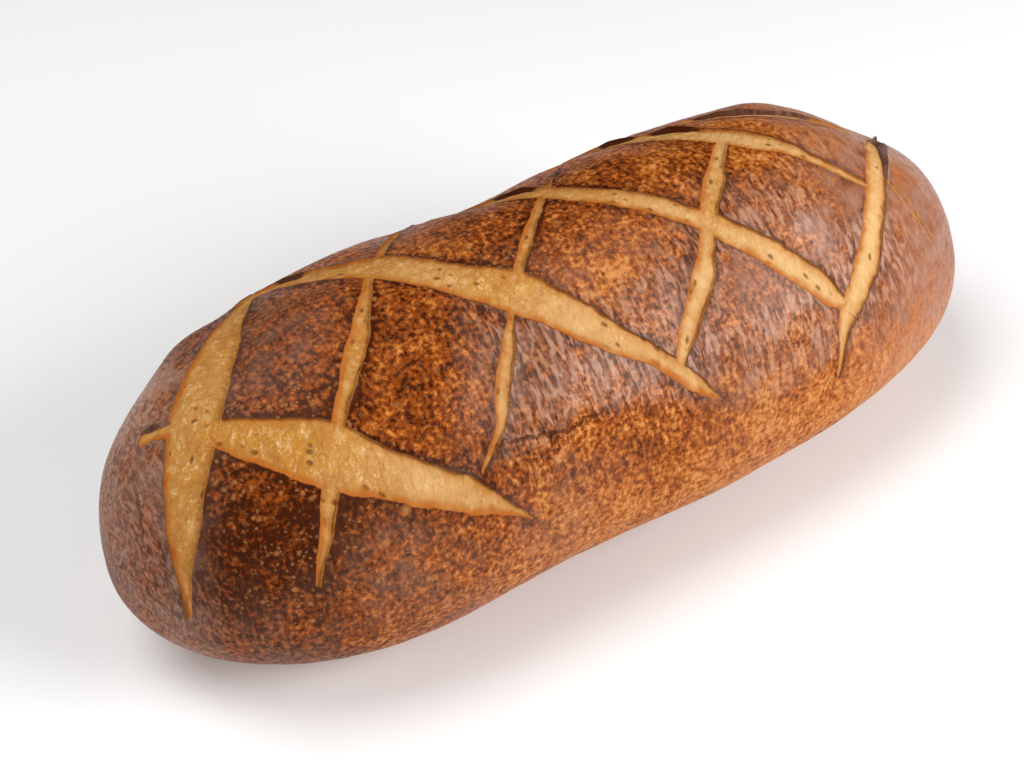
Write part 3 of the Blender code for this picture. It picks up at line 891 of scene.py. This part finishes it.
def inlay_grid(form, cut):
    """Rows across one cut from tip to tip: places (x, angle) on the loaf, and s and t in the chord's frame.

    Inside the cut the columns crowd towards the edges as cosines do. Beyond each edge they go on straight in
    x and angle, at growing lengths over the crust.
    """
    along, right = chord_frame(cut)
    origin = np.array([cut.crown_x * MM, 0.0])
    margin = INLAY_MARGINS[-1]

    def locate(s, t):
        place = origin + s[..., None] * along + t[..., None] * right
        return place[..., 0], crown_angle(form, place[..., 0], place[..., 1])

    start, end = cut_reach(cut)
    fine = np.linspace(start - margin, end + margin, SPINE_POINTS)
    spine, _ = loaf_surface(form, *locate(fine, sum(cut_edges(cut, fine)) / 2.0))
    walked = np.concatenate([[0.0], np.cumsum(np.linalg.norm(np.diff(spine, axis=0), axis=1))])
    first, last = np.interp([start, end], fine, walked) + np.array([-margin, margin])
    s = np.interp(np.linspace(first, last, int((last - first) / INLAY_STEP)), walked, fine)
    left_edge, right_edge = cut_edges(cut, s)
    spare = np.maximum(LEAST_HALF_WIDTH - (right_edge - left_edge) / 2.0, 0.0)
    left_edge, right_edge = left_edge - spare, right_edge + spare
    inside = np.cos(np.linspace(0.0, math.pi, INSIDE_COLUMNS))
    middle, half = (right_edge + left_edge) / 2.0, (right_edge - left_edge) / 2.0
    t = middle[:, None] - half[:, None] * inside
    x, angle = locate(np.repeat(s[:, None], t.shape[1], axis=1), t)
    grids = [(x, angle, t)]
    for edge, inward in ((left_edge, EDGE_STEP), (right_edge, -EDGE_STEP)):
        inner = edge + inward
        edge_x, edge_angle = locate(s, edge)
        inner_x, inner_angle = locate(s, inner)
        _, edge_normals = loaf_surface(form, edge_x, edge_angle)
        steps = INLAY_MARGINS * slant(edge_normals, right)[:, None] / EDGE_STEP
        out_x = edge_x[:, None] + (edge_x - inner_x)[:, None] * steps
        out_angle = edge_angle[:, None] + (edge_angle - inner_angle)[:, None] * steps
        out_t = edge[:, None] + (edge - inner)[:, None] * steps
        if inward > 0.0:
            grids.insert(0, (out_x[:, ::-1], out_angle[:, ::-1], out_t[:, ::-1]))
        else:
            grids.append((out_x, out_angle, out_t))
    x, angle, t = (np.concatenate(parts, axis=1) for parts in zip(*grids))
    return x, angle, np.repeat(s[:, None], t.shape[1], axis=1), t


def build_inlay(form, cut, below):
    """One closed strip: its top follows the relief over a cut and its margins, its foot lies in the loaf.

    below gives a further drop to apply at points, where another inlay lies on top.
    """
    x, angle, s, t = inlay_grid(form, cut)
    points, normals, height, values = relief(form, x, angle)
    place = plan_place(form, x, angle)
    own = cut_fields(form, cut, place, points, normals)[0]
    tuck = INLAY_RISE - INLAY_TUCK * smooth_step(2.2 * MM, 4.8 * MM, own)
    top = points + normals * (height + tuck - below(place, points, normals))[..., None]
    foot = points[:, [-1, 0]] - normals[:, [-1, 0]] * FOOT_DEPTH
    rows, columns = x.shape
    ring = np.concatenate([top, foot], axis=1)
    width = columns + 2
    i = np.arange(rows - 1)[:, None] * width
    j = np.arange(width)[None, :]
    here, beside = i + j, i + (j + 1) % width
    sides = np.stack([here, beside, beside + width, here + width], axis=-1)
    shading = face_normals_at(ring.reshape(-1, 3), sides[:, : columns - 1].reshape(-1, 4)).reshape(ring.shape)
    shading[:, columns:] = -normals[:, [-1, 0]]
    sides = sides.reshape(-1, 4)
    fan = np.arange(1, width - 1)
    first = np.stack([np.zeros_like(fan), fan + 1, fan], axis=-1)
    last = np.stack([np.zeros_like(fan), fan, fan + 1], axis=-1) + (rows - 1) * width
    ends = np.concatenate([first, last])
    padding = ((0, 0), (0, 2))
    values["skin"] = np.pad(skin_place(form, x, angle), ((0, 0), (0, 0), (0, 1)))
    values["cut_place"] = np.stack([t, s, 0.0 * s], axis=-1)
    attributes = {"shading": shading.reshape(-1, 3)}
    for label, grid in values.items():
        padded = np.pad(grid, padding + ((0, 0),) * (grid.ndim - 2), mode="edge")
        attributes[label] = padded.reshape(-1, *grid.shape[2:])
    return ring.reshape(-1, 3), (sides, ends), attributes


def join_inlays(name, inlays):
    """One piece from several inlays."""
    points, sides, ends, attributes, offset = [], [], [], {}, 0
    for inlay_points, (inlay_sides, inlay_ends), inlay_attributes in inlays:
        points.append(inlay_points)
        sides.append(inlay_sides + offset)
        ends.append(inlay_ends + offset)
        for label, values in inlay_attributes.items():
            attributes.setdefault(label, []).append(values)
        offset += len(inlay_points)
    merged = {label: np.concatenate(values) for label, values in attributes.items()}
    shading = merged.pop("shading")
    faces = [np.concatenate(sides), np.concatenate(ends)]
    return make_piece(name, np.concatenate(points), faces, merged, shading)


# ---------------------------------------------------------------- materials


class Nodes:
    """Short ways to add shader nodes to one tree. A value is a number, a tuple or another node's socket."""

    def __init__(self, tree):
        self.tree = tree

    def feed(self, socket, value):
        if isinstance(value, bpy.types.NodeSocket):
            self.tree.links.new(value, socket)
        elif value is not None:
            socket.default_value = value

    def add(self, kind, inputs=None, **settings):
        node = self.tree.nodes.new(kind)
        for label, value in settings.items():
            setattr(node, label, value)
        for label, value in (inputs or {}).items():
            self.feed(node.inputs[label], value)
        return node

    def maths(self, operation, a, b=None, c=None, clamp=False):
        node = self.add("ShaderNodeMath", operation=operation, use_clamp=clamp)
        for socket, value in zip(node.inputs, (a, b, c)):
            self.feed(socket, value)
        return node.outputs[0]

    def plus(self, a, b):
        return self.maths("ADD", a, b)

    def minus(self, a, b):
        return self.maths("SUBTRACT", a, b)

    def times(self, a, b, clamp=False):
        return self.maths("MULTIPLY", a, b, clamp=clamp)

    def stretch(self, value, low, high, to_low=0.0, to_high=1.0, smooth=True):
        """The value carried from low..high to to_low..to_high, eased at both ends if smooth."""
        kind = "SMOOTHSTEP" if smooth else "LINEAR"
        names = ("Value", "From Min", "From Max", "To Min", "To Max")
        inputs = dict(zip(names, (value, low, high, to_low, to_high)))
        return self.add("ShaderNodeMapRange", inputs, interpolation_type=kind).outputs[0]

    def noise(self, vector, size, detail=2.0, rough=0.5, warp=0.0):
        inputs = {"Vector": vector, "Scale": 1.0 / size, "Detail": detail, "Roughness": rough}
        inputs["Distortion"] = warp
        return self.add("ShaderNodeTexNoise", inputs).outputs["Fac"]

    def cells(self, vector, size, feature="F1"):
        return self.add("ShaderNodeTexVoronoi", {"Vector": vector, "Scale": 1.0 / size}, feature=feature)

    def mix(self, share, a, b, blend="MIX"):
        node = self.add("ShaderNodeMix", data_type="RGBA", blend_type=blend)
        for index, value in ((0, share), (6, a), (7, b)):
            self.feed(node.inputs[index], value)
        return node.outputs[2]

    def vector_maths(self, operation, a, b):
        return self.add("ShaderNodeVectorMath", {0: a, 1: b}, operation=operation).outputs[0]

    def spread(self, noise, width):
        """A noise of mean 0.5 turned into a value of mean 0 that swings by about half of width each way."""
        return self.times(self.minus(noise, 0.5), width * 2.0)

    def group(self, name, inputs):
        return self.add("ShaderNodeGroup", inputs, node_tree=bpy.data.node_groups[name]).outputs

    def attribute(self, name, output="Fac"):
        return self.add("ShaderNodeAttribute", attribute_name=name).outputs[output]

    def moved(self, vector, scale=(1.0, 1.0, 1.0), location=(0.0, 0.0, 0.0)):
        inputs = {"Vector": vector, "Scale": scale, "Location": location}
        return self.add("ShaderNodeMapping", inputs).outputs[0]


def node_group(name, inputs, outputs):
    """An empty shader node group with named sockets, and its Nodes helper with the group's own ends."""
    group = bpy.data.node_groups.new(name, "ShaderNodeTree")
    kinds = {float: "NodeSocketFloat", tuple: "NodeSocketColor", Vector: "NodeSocketVector"}
    for label, default in inputs.items():
        socket = group.interface.new_socket(label, in_out="INPUT", socket_type=kinds[type(default)])
        if not isinstance(default, Vector):
            socket.default_value = default
    for label, kind in outputs.items():
        group.interface.new_socket(label, in_out="OUTPUT", socket_type=kinds[kind])
    nodes = Nodes(group)
    entry = nodes.add("NodeGroupInput").outputs
    leave = nodes.add("NodeGroupOutput").inputs
    return group, nodes, entry, leave


def blister_group():
    """Starch blisters: three sizes of dots in Voronoi cells, some cells empty, each dot of its own radius."""
    inputs = {"Vector": Vector(), "Amount": 1.0}
    outputs = {"Pale": float, "Large": float, "Height": float}
    group, nodes, entry, leave = node_group("Blisters", inputs, outputs)
    waver = nodes.add("ShaderNodeTexNoise", {"Vector": entry["Vector"], "Scale": 1400.0, "Detail": 1.0})
    shift = nodes.vector_maths("MULTIPLY", waver.outputs["Color"], (0.0009, 0.0009, 0.0009))
    bent = nodes.vector_maths("ADD", entry["Vector"], shift)
    dots = []
    for kind in (*FINE_DOTS, LARGE_DOTS):
        start = (kind.start, 2 * kind.start, 3 * kind.start)
        cell = nodes.cells(nodes.moved(bent, location=start), kind.size)
        picks = nodes.add("ShaderNodeSeparateColor", {0: cell.outputs["Color"]}).outputs
        chosen = nodes.stretch(picks[0], kind.empty, kind.empty + 0.06)
        radius = nodes.stretch(picks[1], 0.0, 1.0, kind.least, kind.greatest, smooth=False)
        gap = nodes.minus(cell.outputs["Distance"], radius)
        dots.append(nodes.times(nodes.stretch(gap, 0.12, -0.12), chosen))
    crowd = nodes.stretch(nodes.noise(entry["Vector"], DOT_CROWD, 2.0), 0.30, 0.62, 0.25, 1.0)
    fine = nodes.times(nodes.maths("MAXIMUM", dots[0], dots[1]), crowd)
    nodes.feed(leave["Pale"], nodes.times(fine, entry["Amount"], clamp=True))
    nodes.feed(leave["Large"], nodes.times(dots[2], entry["Amount"]))
    nodes.feed(leave["Height"], nodes.maths("MAXIMUM", fine, nodes.times(dots[2], 1.5)))
    return group


def crust_group(look):
    """Baked crust, whose colour goes with its level from golden through amber and chestnut to mahogany.

    Patches, mottles, grain and wrinkles swing the level; the swing with the wrinkles is painted highlight and
    shade, paler on their ridges and darker in their grooves. Blisters lie over that colour, and over them a
    greyish colour of painted sheen, which gathers on the wrinkles' ridges as the gloss does.
    """
    inputs = {"Vector": Vector(), "Skin": Vector(), "Bake": 0.5, "Wrinkle": 0.5, "Speckle": 1.0,
              "Bloom": 0.0}
    outputs = {"Colour": tuple, "Gloss": float, "Height": float}
    group, nodes, entry, leave = node_group("Baked crust", inputs, outputs)
    patches = nodes.noise(entry["Vector"], look.patch_size, 2.0, 0.6)
    mottle = nodes.noise(entry["Vector"], look.mottle_size, 2.0, 0.6)
    grain = nodes.noise(entry["Vector"], look.grain_size, 2.0, 0.55)
    drawn_out = nodes.moved(entry["Skin"], scale=(1.0, WRINKLE_STRETCH, 1.0))
    streaks = nodes.noise(drawn_out, look.streak_size, 2.0, 0.5, 0.6)
    level = nodes.plus(entry["Bake"], nodes.spread(patches, look.patchiness))
    level = nodes.plus(level, nodes.spread(mottle, look.mottling))
    contrast = nodes.times(entry["Speckle"], nodes.stretch(entry["Bake"], 0.75, 1.15, 1.0, 0.75))
    level = nodes.plus(level, nodes.times(nodes.spread(grain, look.graininess), contrast))
    # Painted highlight and shade: the wrinkles' ridges are made paler and their grooves darker.
    swing = nodes.spread(streaks, -look.wrinkle_shading)
    level = nodes.plus(level, nodes.times(swing, entry["Wrinkle"]))
    colour = nodes.mix(nodes.stretch(level, *TO_AMBER), tuple(look.golden), tuple(look.amber))
    colour = nodes.mix(nodes.stretch(level, *TO_CHESTNUT), colour, tuple(look.chestnut))
    colour = nodes.mix(nodes.stretch(level, *TO_MAHOGANY), colour, tuple(look.mahogany))
    shade = nodes.stretch(grain, 0.28, 0.72, 1.30, 0.70, smooth=False)
    grey = nodes.add("ShaderNodeCombineColor", {0: shade, 1: shade, 2: shade}).outputs[0]
    colour = nodes.mix(1.0, colour, nodes.mix(entry["Speckle"], WHITE, grey), "MULTIPLY")
    amount = nodes.times(entry["Speckle"], BLISTER_COVER)
    blisters = nodes.group("Blisters", {"Vector": entry["Vector"], "Amount": amount})
    pale = nodes.mix(0.45, tuple(look.blister), colour)
    colour = nodes.mix(blisters["Pale"], colour, pale)
    colour = nodes.mix(nodes.times(blisters["Large"], LARGE_COVER), colour, tuple(look.blister))
    # Painted sheen: the greyish colour is mixed over the crust in patches, and more on the wrinkles' ridges.
    ridges = nodes.times(nodes.stretch(streaks, 0.44, 0.62), entry["Wrinkle"])
    thin = nodes.stretch(patches, 0.30, 0.70, 0.05, 0.28)
    cover = nodes.plus(thin, nodes.times(ridges, 0.50))
    film = nodes.times(entry["Bloom"], cover)
    colour = nodes.mix(film, colour, tuple(look.bloom))
    nodes.feed(leave["Colour"], colour)
    gloss = nodes.plus(nodes.stretch(grain, 0.7, 0.3, 0.5, 1.2), nodes.times(ridges, 0.9))
    nodes.feed(leave["Gloss"], gloss)
    height = nodes.plus(blisters["Height"], nodes.times(grain, 0.6))
    tall = nodes.plus(nodes.times(entry["Wrinkle"], WRINKLE_RELIEF), 0.4)
    nodes.feed(leave["Height"], nodes.plus(height, nodes.times(streaks, tall)))
    return group


def crumb_group(look):
    """Open crumb: golden, with pale and dark streaks drawn out across the cut, and warmer patches and edges.

    A fine crackle and brown pores, painted shade in their holes, go over it, with more pores near the left
    edge. At the crust it ends in a ragged toasted rim, which is deeper and darker on the lipped side, partly
    as painted shadow under the lip.
    """
    inputs = {"Vector": Vector(), "Place": Vector(), "Distance": 0.0, "Lipped": 0.5, "Paleness": 0.0}
    outputs = {"Colour": tuple, "Height": float}
    group, nodes, entry, leave = node_group("Open crumb", inputs, outputs)
    across = nodes.noise(nodes.moved(entry["Place"], scale=(0.55, 1.0, 1.0)), CRUMB_STREAK, 4.0, 0.6, 1.2)
    fine = nodes.noise(entry["Vector"], CRUMB_GRAIN, 3.0, 0.7)
    broad = nodes.noise(entry["Vector"], CRUMB_PATCH, 2.0)
    level = nodes.plus(nodes.spread(across, 0.9), nodes.spread(fine, 0.9))
    colour = nodes.mix(nodes.stretch(level, -0.05, 0.40), tuple(look.crumb), tuple(look.pale_crumb))
    colour = nodes.mix(nodes.stretch(level, -0.10, -0.50, 0.0, 0.7), colour, tuple(look.dark_crumb))
    colour = nodes.mix(nodes.stretch(broad, 0.56, 0.36, 0.0, 0.75), colour, tuple(look.warm_crumb))
    # Paler where the key softbox falls: partly the crumb's own colour, partly painted light.
    colour = nodes.mix(nodes.times(entry["Paleness"], 0.75), colour, tuple(look.pale_crumb))
    inward = nodes.plus(entry["Distance"], nodes.spread(broad, 3.0 * MM))
    warm = nodes.stretch(inward, -4.5 * MM, 0.2 * MM, 0.0, 0.65)
    colour = nodes.mix(warm, colour, tuple(look.edge_crumb))
    shift = nodes.add("ShaderNodeTexNoise", {"Vector": entry["Place"], "Scale": 500.0, "Detail": 2.0})
    shift = nodes.vector_maths("MULTIPLY", shift.outputs["Color"], (0.0035, 0.0035, 0.0))
    bent = nodes.moved(nodes.vector_maths("ADD", entry["Place"], shift), scale=(0.6, 1.0, 1.0))
    seam = nodes.cells(bent, CRACKLE_CELL, "DISTANCE_TO_EDGE").outputs["Distance"]
    crackle = nodes.times(nodes.stretch(seam, 0.16, 0.0), nodes.stretch(across, 0.35, 0.6))
    crackle = nodes.times(crackle, nodes.stretch(entry["Paleness"], 0.2, 0.8, 0.65, 0.20))
    colour = nodes.mix(crackle, colour, tuple(look.crackle))
    colour = nodes.mix(nodes.stretch(seam, 0.22, 0.5, 0.0, 0.35), colour, tuple(look.pale_crumb))
    # Pores: dark spots of painted shade in the holes, where the relief dips too.
    pore = nodes.cells(nodes.moved(entry["Place"], scale=(1.0, 0.6, 1.0)), PORE_CELL)
    pick = nodes.add("ShaderNodeSeparateColor", {0: pore.outputs["Color"]}).outputs[1]
    hole = nodes.stretch(pore.outputs["Distance"], 0.36, 0.14)
    near_edge = nodes.stretch(entry["Distance"], -5.0 * MM, -1.5 * MM, 0.0, 0.22)
    left_edge = nodes.times(nodes.minus(1.0, entry["Lipped"]), near_edge)
    hole = nodes.times(hole, nodes.stretch(nodes.plus(pick, left_edge), 0.82, 0.90))
    colour = nodes.mix(nodes.times(hole, 0.75), colour, tuple(look.pore))
    ragged = nodes.plus(entry["Distance"], nodes.spread(broad, 2.2 * MM))
    ragged = nodes.plus(ragged, nodes.spread(fine, 1.2 * MM))
    # On the lipped side the rim reaches deeper and is darker: partly toasted, partly painted shadow under the
    # lip.
    deeper = nodes.times(entry["Lipped"], -LIPPED_RIM)
    rim = nodes.stretch(nodes.plus(ragged, deeper), -look.rim_reach, 0.3 * MM)
    rim = nodes.times(rim, 0.95)
    toast_and_lip_shade = nodes.mix(entry["Lipped"], tuple(look.light_toast), tuple(look.toast_and_lip_shade))
    colour = nodes.mix(rim, colour, toast_and_lip_shade)
    nodes.feed(leave["Colour"], colour)
    swell = nodes.plus(nodes.plus(fine, across), nodes.stretch(seam, 0.0, 0.3, 0.0, -0.8))
    nodes.feed(leave["Height"], nodes.minus(swell, nodes.times(hole, 1.5)))
    return group


def bread_material(look, name, with_crumb):
    """Crust, scorched beside the cuts and darker at a cut's lipped edge, partly as painted shadow under the
    lip, with crumb where the distance to a cut's edge is negative.

    Without crumb it is crust all over. The cracks are drawn over both, the dark ones as painted shade.
    """
    material = bpy.data.materials.new(name)
    material.use_nodes = True
    nodes = Nodes(material.node_tree)
    shader = material.node_tree.nodes["Principled BSDF"]
    place = nodes.add("ShaderNodeTexCoord").outputs["Object"]
    distance = nodes.attribute("edge_distance")
    lipped = nodes.attribute("lipped")
    patch = nodes.noise(place, 5.0 * MM, 2.0)
    reach = nodes.plus(distance, nodes.spread(patch, 5.0 * MM))
    edge_darkening = nodes.times(nodes.stretch(reach, SCORCH_REACH, 0.0), SCORCH)
    # Darker still close to the lipped edge: partly scorching, partly painted shadow under the lip.
    line = nodes.stretch(distance, 1.6 * MM, 0.1 * MM, 0.0, LIP_SHADE_AND_SCORCH)
    edge_darkening = nodes.plus(edge_darkening, nodes.times(line, lipped))
    bake = nodes.plus(nodes.attribute("bake"), edge_darkening)
    feeds = {"Vector": place, "Skin": nodes.attribute("skin", "Vector"), "Bake": bake}
    bloom = nodes.attribute("bloom")
    feeds |= {"Wrinkle": nodes.attribute("wrinkle"), "Speckle": nodes.attribute("speckle"), "Bloom": bloom}
    crust = nodes.group("Baked crust", feeds)
    colour, height = crust["Colour"], crust["Height"]
    roughness = nodes.stretch(crust["Gloss"], 0.5, 1.2, 0.50, 0.36)
    shine = nodes.plus(nodes.times(bloom, 0.12), 0.01)
    shine = nodes.times(shine, crust["Gloss"])
    if with_crumb:
        feeds = {"Vector": place, "Place": nodes.attribute("cut_place", "Vector"), "Distance": distance}
        crumb = nodes.group("Open crumb", feeds | {"Lipped": lipped, "Paleness": nodes.attribute("paleness")})
        burnt = nodes.stretch(nodes.attribute("ear"), 0.15, 0.9, 0.0, 1.1 * MM)
        opened = nodes.stretch(nodes.plus(distance, burnt), 0.15 * MM, -0.25 * MM)
        colour = nodes.mix(opened, colour, crumb["Colour"])
        closed = nodes.minus(1.0, opened)
        open_height = nodes.times(crumb["Height"], opened)
        height = nodes.plus(nodes.times(height, closed), open_height)
        matt = nodes.times(opened, CRUMB_ROUGHNESS)
        roughness = nodes.plus(nodes.times(roughness, closed), matt)
        shine = nodes.times(shine, closed)
    crack = nodes.add("ShaderNodeSeparateXYZ", {0: nodes.attribute("crack", "Vector")}).outputs
    off = nodes.plus(crack[0], nodes.spread(nodes.noise(place, 3.0 * MM, 2.0), 1.6 * MM))
    width = nodes.times(crack[1], CRACK_HALF_WIDTH)
    gap = nodes.minus(nodes.maths("ABSOLUTE", off), width)
    inside = nodes.stretch(gap, 0.12 * MM, -0.12 * MM)
    split = nodes.times(inside, nodes.stretch(crack[1], 0.0, 0.3))
    # A dark crack is painted shade in the crack; a pale one shows crumb.
    tone = nodes.mix(crack[2], tuple(look.mahogany), tuple(look.crumb))
    colour = nodes.mix(nodes.times(split, 0.75), colour, tone)
    height = nodes.minus(height, nodes.times(split, CRACK_RELIEF))
    nodes.feed(shader.inputs["Base Color"], colour)
    nodes.feed(shader.inputs["Specular IOR Level"], SPECULAR_LEVEL)
    nodes.feed(shader.inputs["Coat Weight"], shine)
    nodes.feed(shader.inputs["Coat Roughness"], COAT_ROUGHNESS)
    nodes.feed(shader.inputs["Roughness"], roughness)
    bump = nodes.add("ShaderNodeBump", {"Strength": 0.8, "Distance": look.relief, "Height": height})
    nodes.feed(shader.inputs["Normal"], bump.outputs[0])
    return material


# ---------------------------------------------------------------- operators


class LOAF_OT_materials(bpy.types.Operator):
    """Make the node groups and the two bread materials"""

    bl_idname = "loaf.materials"
    bl_label = "Bread materials"

    def execute(self, context):
        look = context.scene.loaf_look
        blister_group()
        crust_group(look)
        crumb_group(look)
        bread_material(look, "crust", with_crumb=False)
        bread_material(look, "crust_and_crumb", with_crumb=True)
        return {"FINISHED"}


class LOAF_OT_crust(bpy.types.Operator):
    """Build the closed crust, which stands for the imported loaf, and check its size"""

    bl_idname = "loaf.crust"
    bl_label = "Crust"

    def execute(self, context):
        skin = build_skin(context.scene.loaf_form)
        corners = np.array([vertex.co for vertex in skin.data.vertices])
        misfit = np.abs([corners.min(axis=0) - BOX_LOW, corners.max(axis=0) - BOX_HIGH]).max()
        if misfit > SIZE_TOLERANCE:
            raise RuntimeError(f"the crust is {misfit / MM:.1f} mm off the packed loaf's box")
        skin.data.materials.append(bpy.data.materials["crust"])
        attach(skin, BODY)
        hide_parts(NODE)
        return {"FINISHED"}


class LOAF_OT_cuts(bpy.types.Operator):
    """Build the inlays of both sets of cuts"""

    bl_idname = "loaf.cuts"
    bl_label = "Scored cuts"

    def execute(self, context):
        form = context.scene.loaf_form

        def level(place, points, normals):
            return 0.0

        def under_falling(place, points, normals):
            away = [cut_fields(form, cut, place, points, normals)[0] for cut in FALLING_CUTS]
            return CROSSING_SINK * smooth_step(4.4 * MM, 2.6 * MM, np.min(away, axis=0))

        for name, cuts, below in (
            ("falling_cuts", FALLING_CUTS, level),
            ("rising_cuts", RISING_CUTS, under_falling),
        ):
            piece = join_inlays(name, [build_inlay(form, cut, below) for cut in cuts])
            piece.data.materials.append(bpy.data.materials["crust_and_crumb"])
            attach(piece, BODY)
        return {"FINISHED"}


class LOAF_OT_stage(bpy.types.Operator):
    """Make the pale floor, the soft studio lights and the camera"""

    bl_idname = "loaf.stage"
    bl_label = "Stage"

    def execute(self, context):
        scene = context.scene
        look = scene.loaf_stage
        bpy.ops.mesh.primitive_plane_add(size=FLOOR_SIDE)
        floor = context.object
        floor.name = "floor"
        paper = bpy.data.materials.new("pale_paper")
        paper.use_nodes = True
        shader = paper.node_tree.nodes["Principled BSDF"]
        shader.inputs["Base Color"].default_value = (0.93, 0.93, 0.93, 1.0)
        shader.inputs["Roughness"].default_value = 0.9
        floor.data.materials.append(paper)

        world = bpy.data.worlds.new("studio")
        world.use_nodes = True
        background = world.node_tree.nodes["Background"]
        background.inputs["Color"].default_value = WHITE
        background.inputs["Strength"].default_value = look.room
        scene.world = world

        for box in SOFTBOXES:
            add_softbox(box, getattr(look, f"{box.name}_power"))

        lens = bpy.data.cameras.new("camera")
        lens.lens = look.lens
        lens.sensor_width = 36.0
        lens.clip_start = 0.02
        camera = bpy.data.objects.new("camera", lens)
        scene.collection.objects.link(camera)
        forward = CAMERA_FORWARD.normalized()
        side = forward.cross(CAMERA_UP).normalized()
        turned = Matrix((side, side.cross(forward), -forward)).transposed().to_4x4()
        camera.matrix_world = Matrix.Translation(CAMERA_PLACE) @ turned
        scene.camera = camera
        scene.view_settings.view_transform = "Standard"
        scene.view_settings.look = "None"
        return {"FINISHED"}


def add_softbox(box, power):
    """A square area light that faces the loaf."""
    light = bpy.data.lights.new(f"{box.name}_softbox", "AREA")
    light.shape = "SQUARE"
    light.size = box.side
    light.energy = power
    holder = bpy.data.objects.new(f"{box.name}_softbox", light)
    bpy.context.scene.collection.objects.link(holder)
    turn, lift = math.radians(box.azimuth), math.radians(box.elevation)
    away = Vector((math.cos(lift) * math.cos(turn), math.cos(lift) * math.sin(turn), math.sin(lift)))
    holder.location = LIT_PLACE + away * box.distance
    holder.rotation_euler = (-away).to_track_quat("-Z", "Y").to_euler()


class LOAF_PT_panel(bpy.types.Panel):
    """Sidebar panel with the loaf's sizes, colours and build steps"""

    bl_label = "Vienna loaf"
    bl_idname = "LOAF_PT_panel"
    bl_space_type = "VIEW_3D"
    bl_region_type = "UI"
    bl_category = "Loaf"

    def draw(self, context):
        layout = self.layout
        for settings in (context.scene.loaf_form, context.scene.loaf_look, context.scene.loaf_stage):
            column = layout.column(align=True)
            for name in settings.bl_rna.properties.keys():
                if name not in {"rna_type", "name"}:
                    column.prop(settings, name)
        for step in STEPS:
            layout.operator(step.bl_idname)


STEPS = (LOAF_OT_materials, LOAF_OT_crust, LOAF_OT_cuts, LOAF_OT_stage)
CLASSES = (LoafForm, CrustLook, StageLook, *STEPS, LOAF_PT_panel)


def register():
    for item in CLASSES:
        bpy.utils.register_class(item)
    bpy.types.Scene.loaf_form = PointerProperty(type=LoafForm)
    bpy.types.Scene.loaf_look = PointerProperty(type=CrustLook)
    bpy.types.Scene.loaf_stage = PointerProperty(type=StageLook)


def unregister():
    for name in ("loaf_form", "loaf_look", "loaf_stage"):
        delattr(bpy.types.Scene, name)
    for item in reversed(CLASSES):
        bpy.utils.unregister_class(item)


def main():
    register()
    bpy.ops.loaf.materials()
    bpy.ops.loaf.crust()
    bpy.ops.loaf.cuts()
    bpy.ops.loaf.stage()


if __name__ == "__main__":
    main()
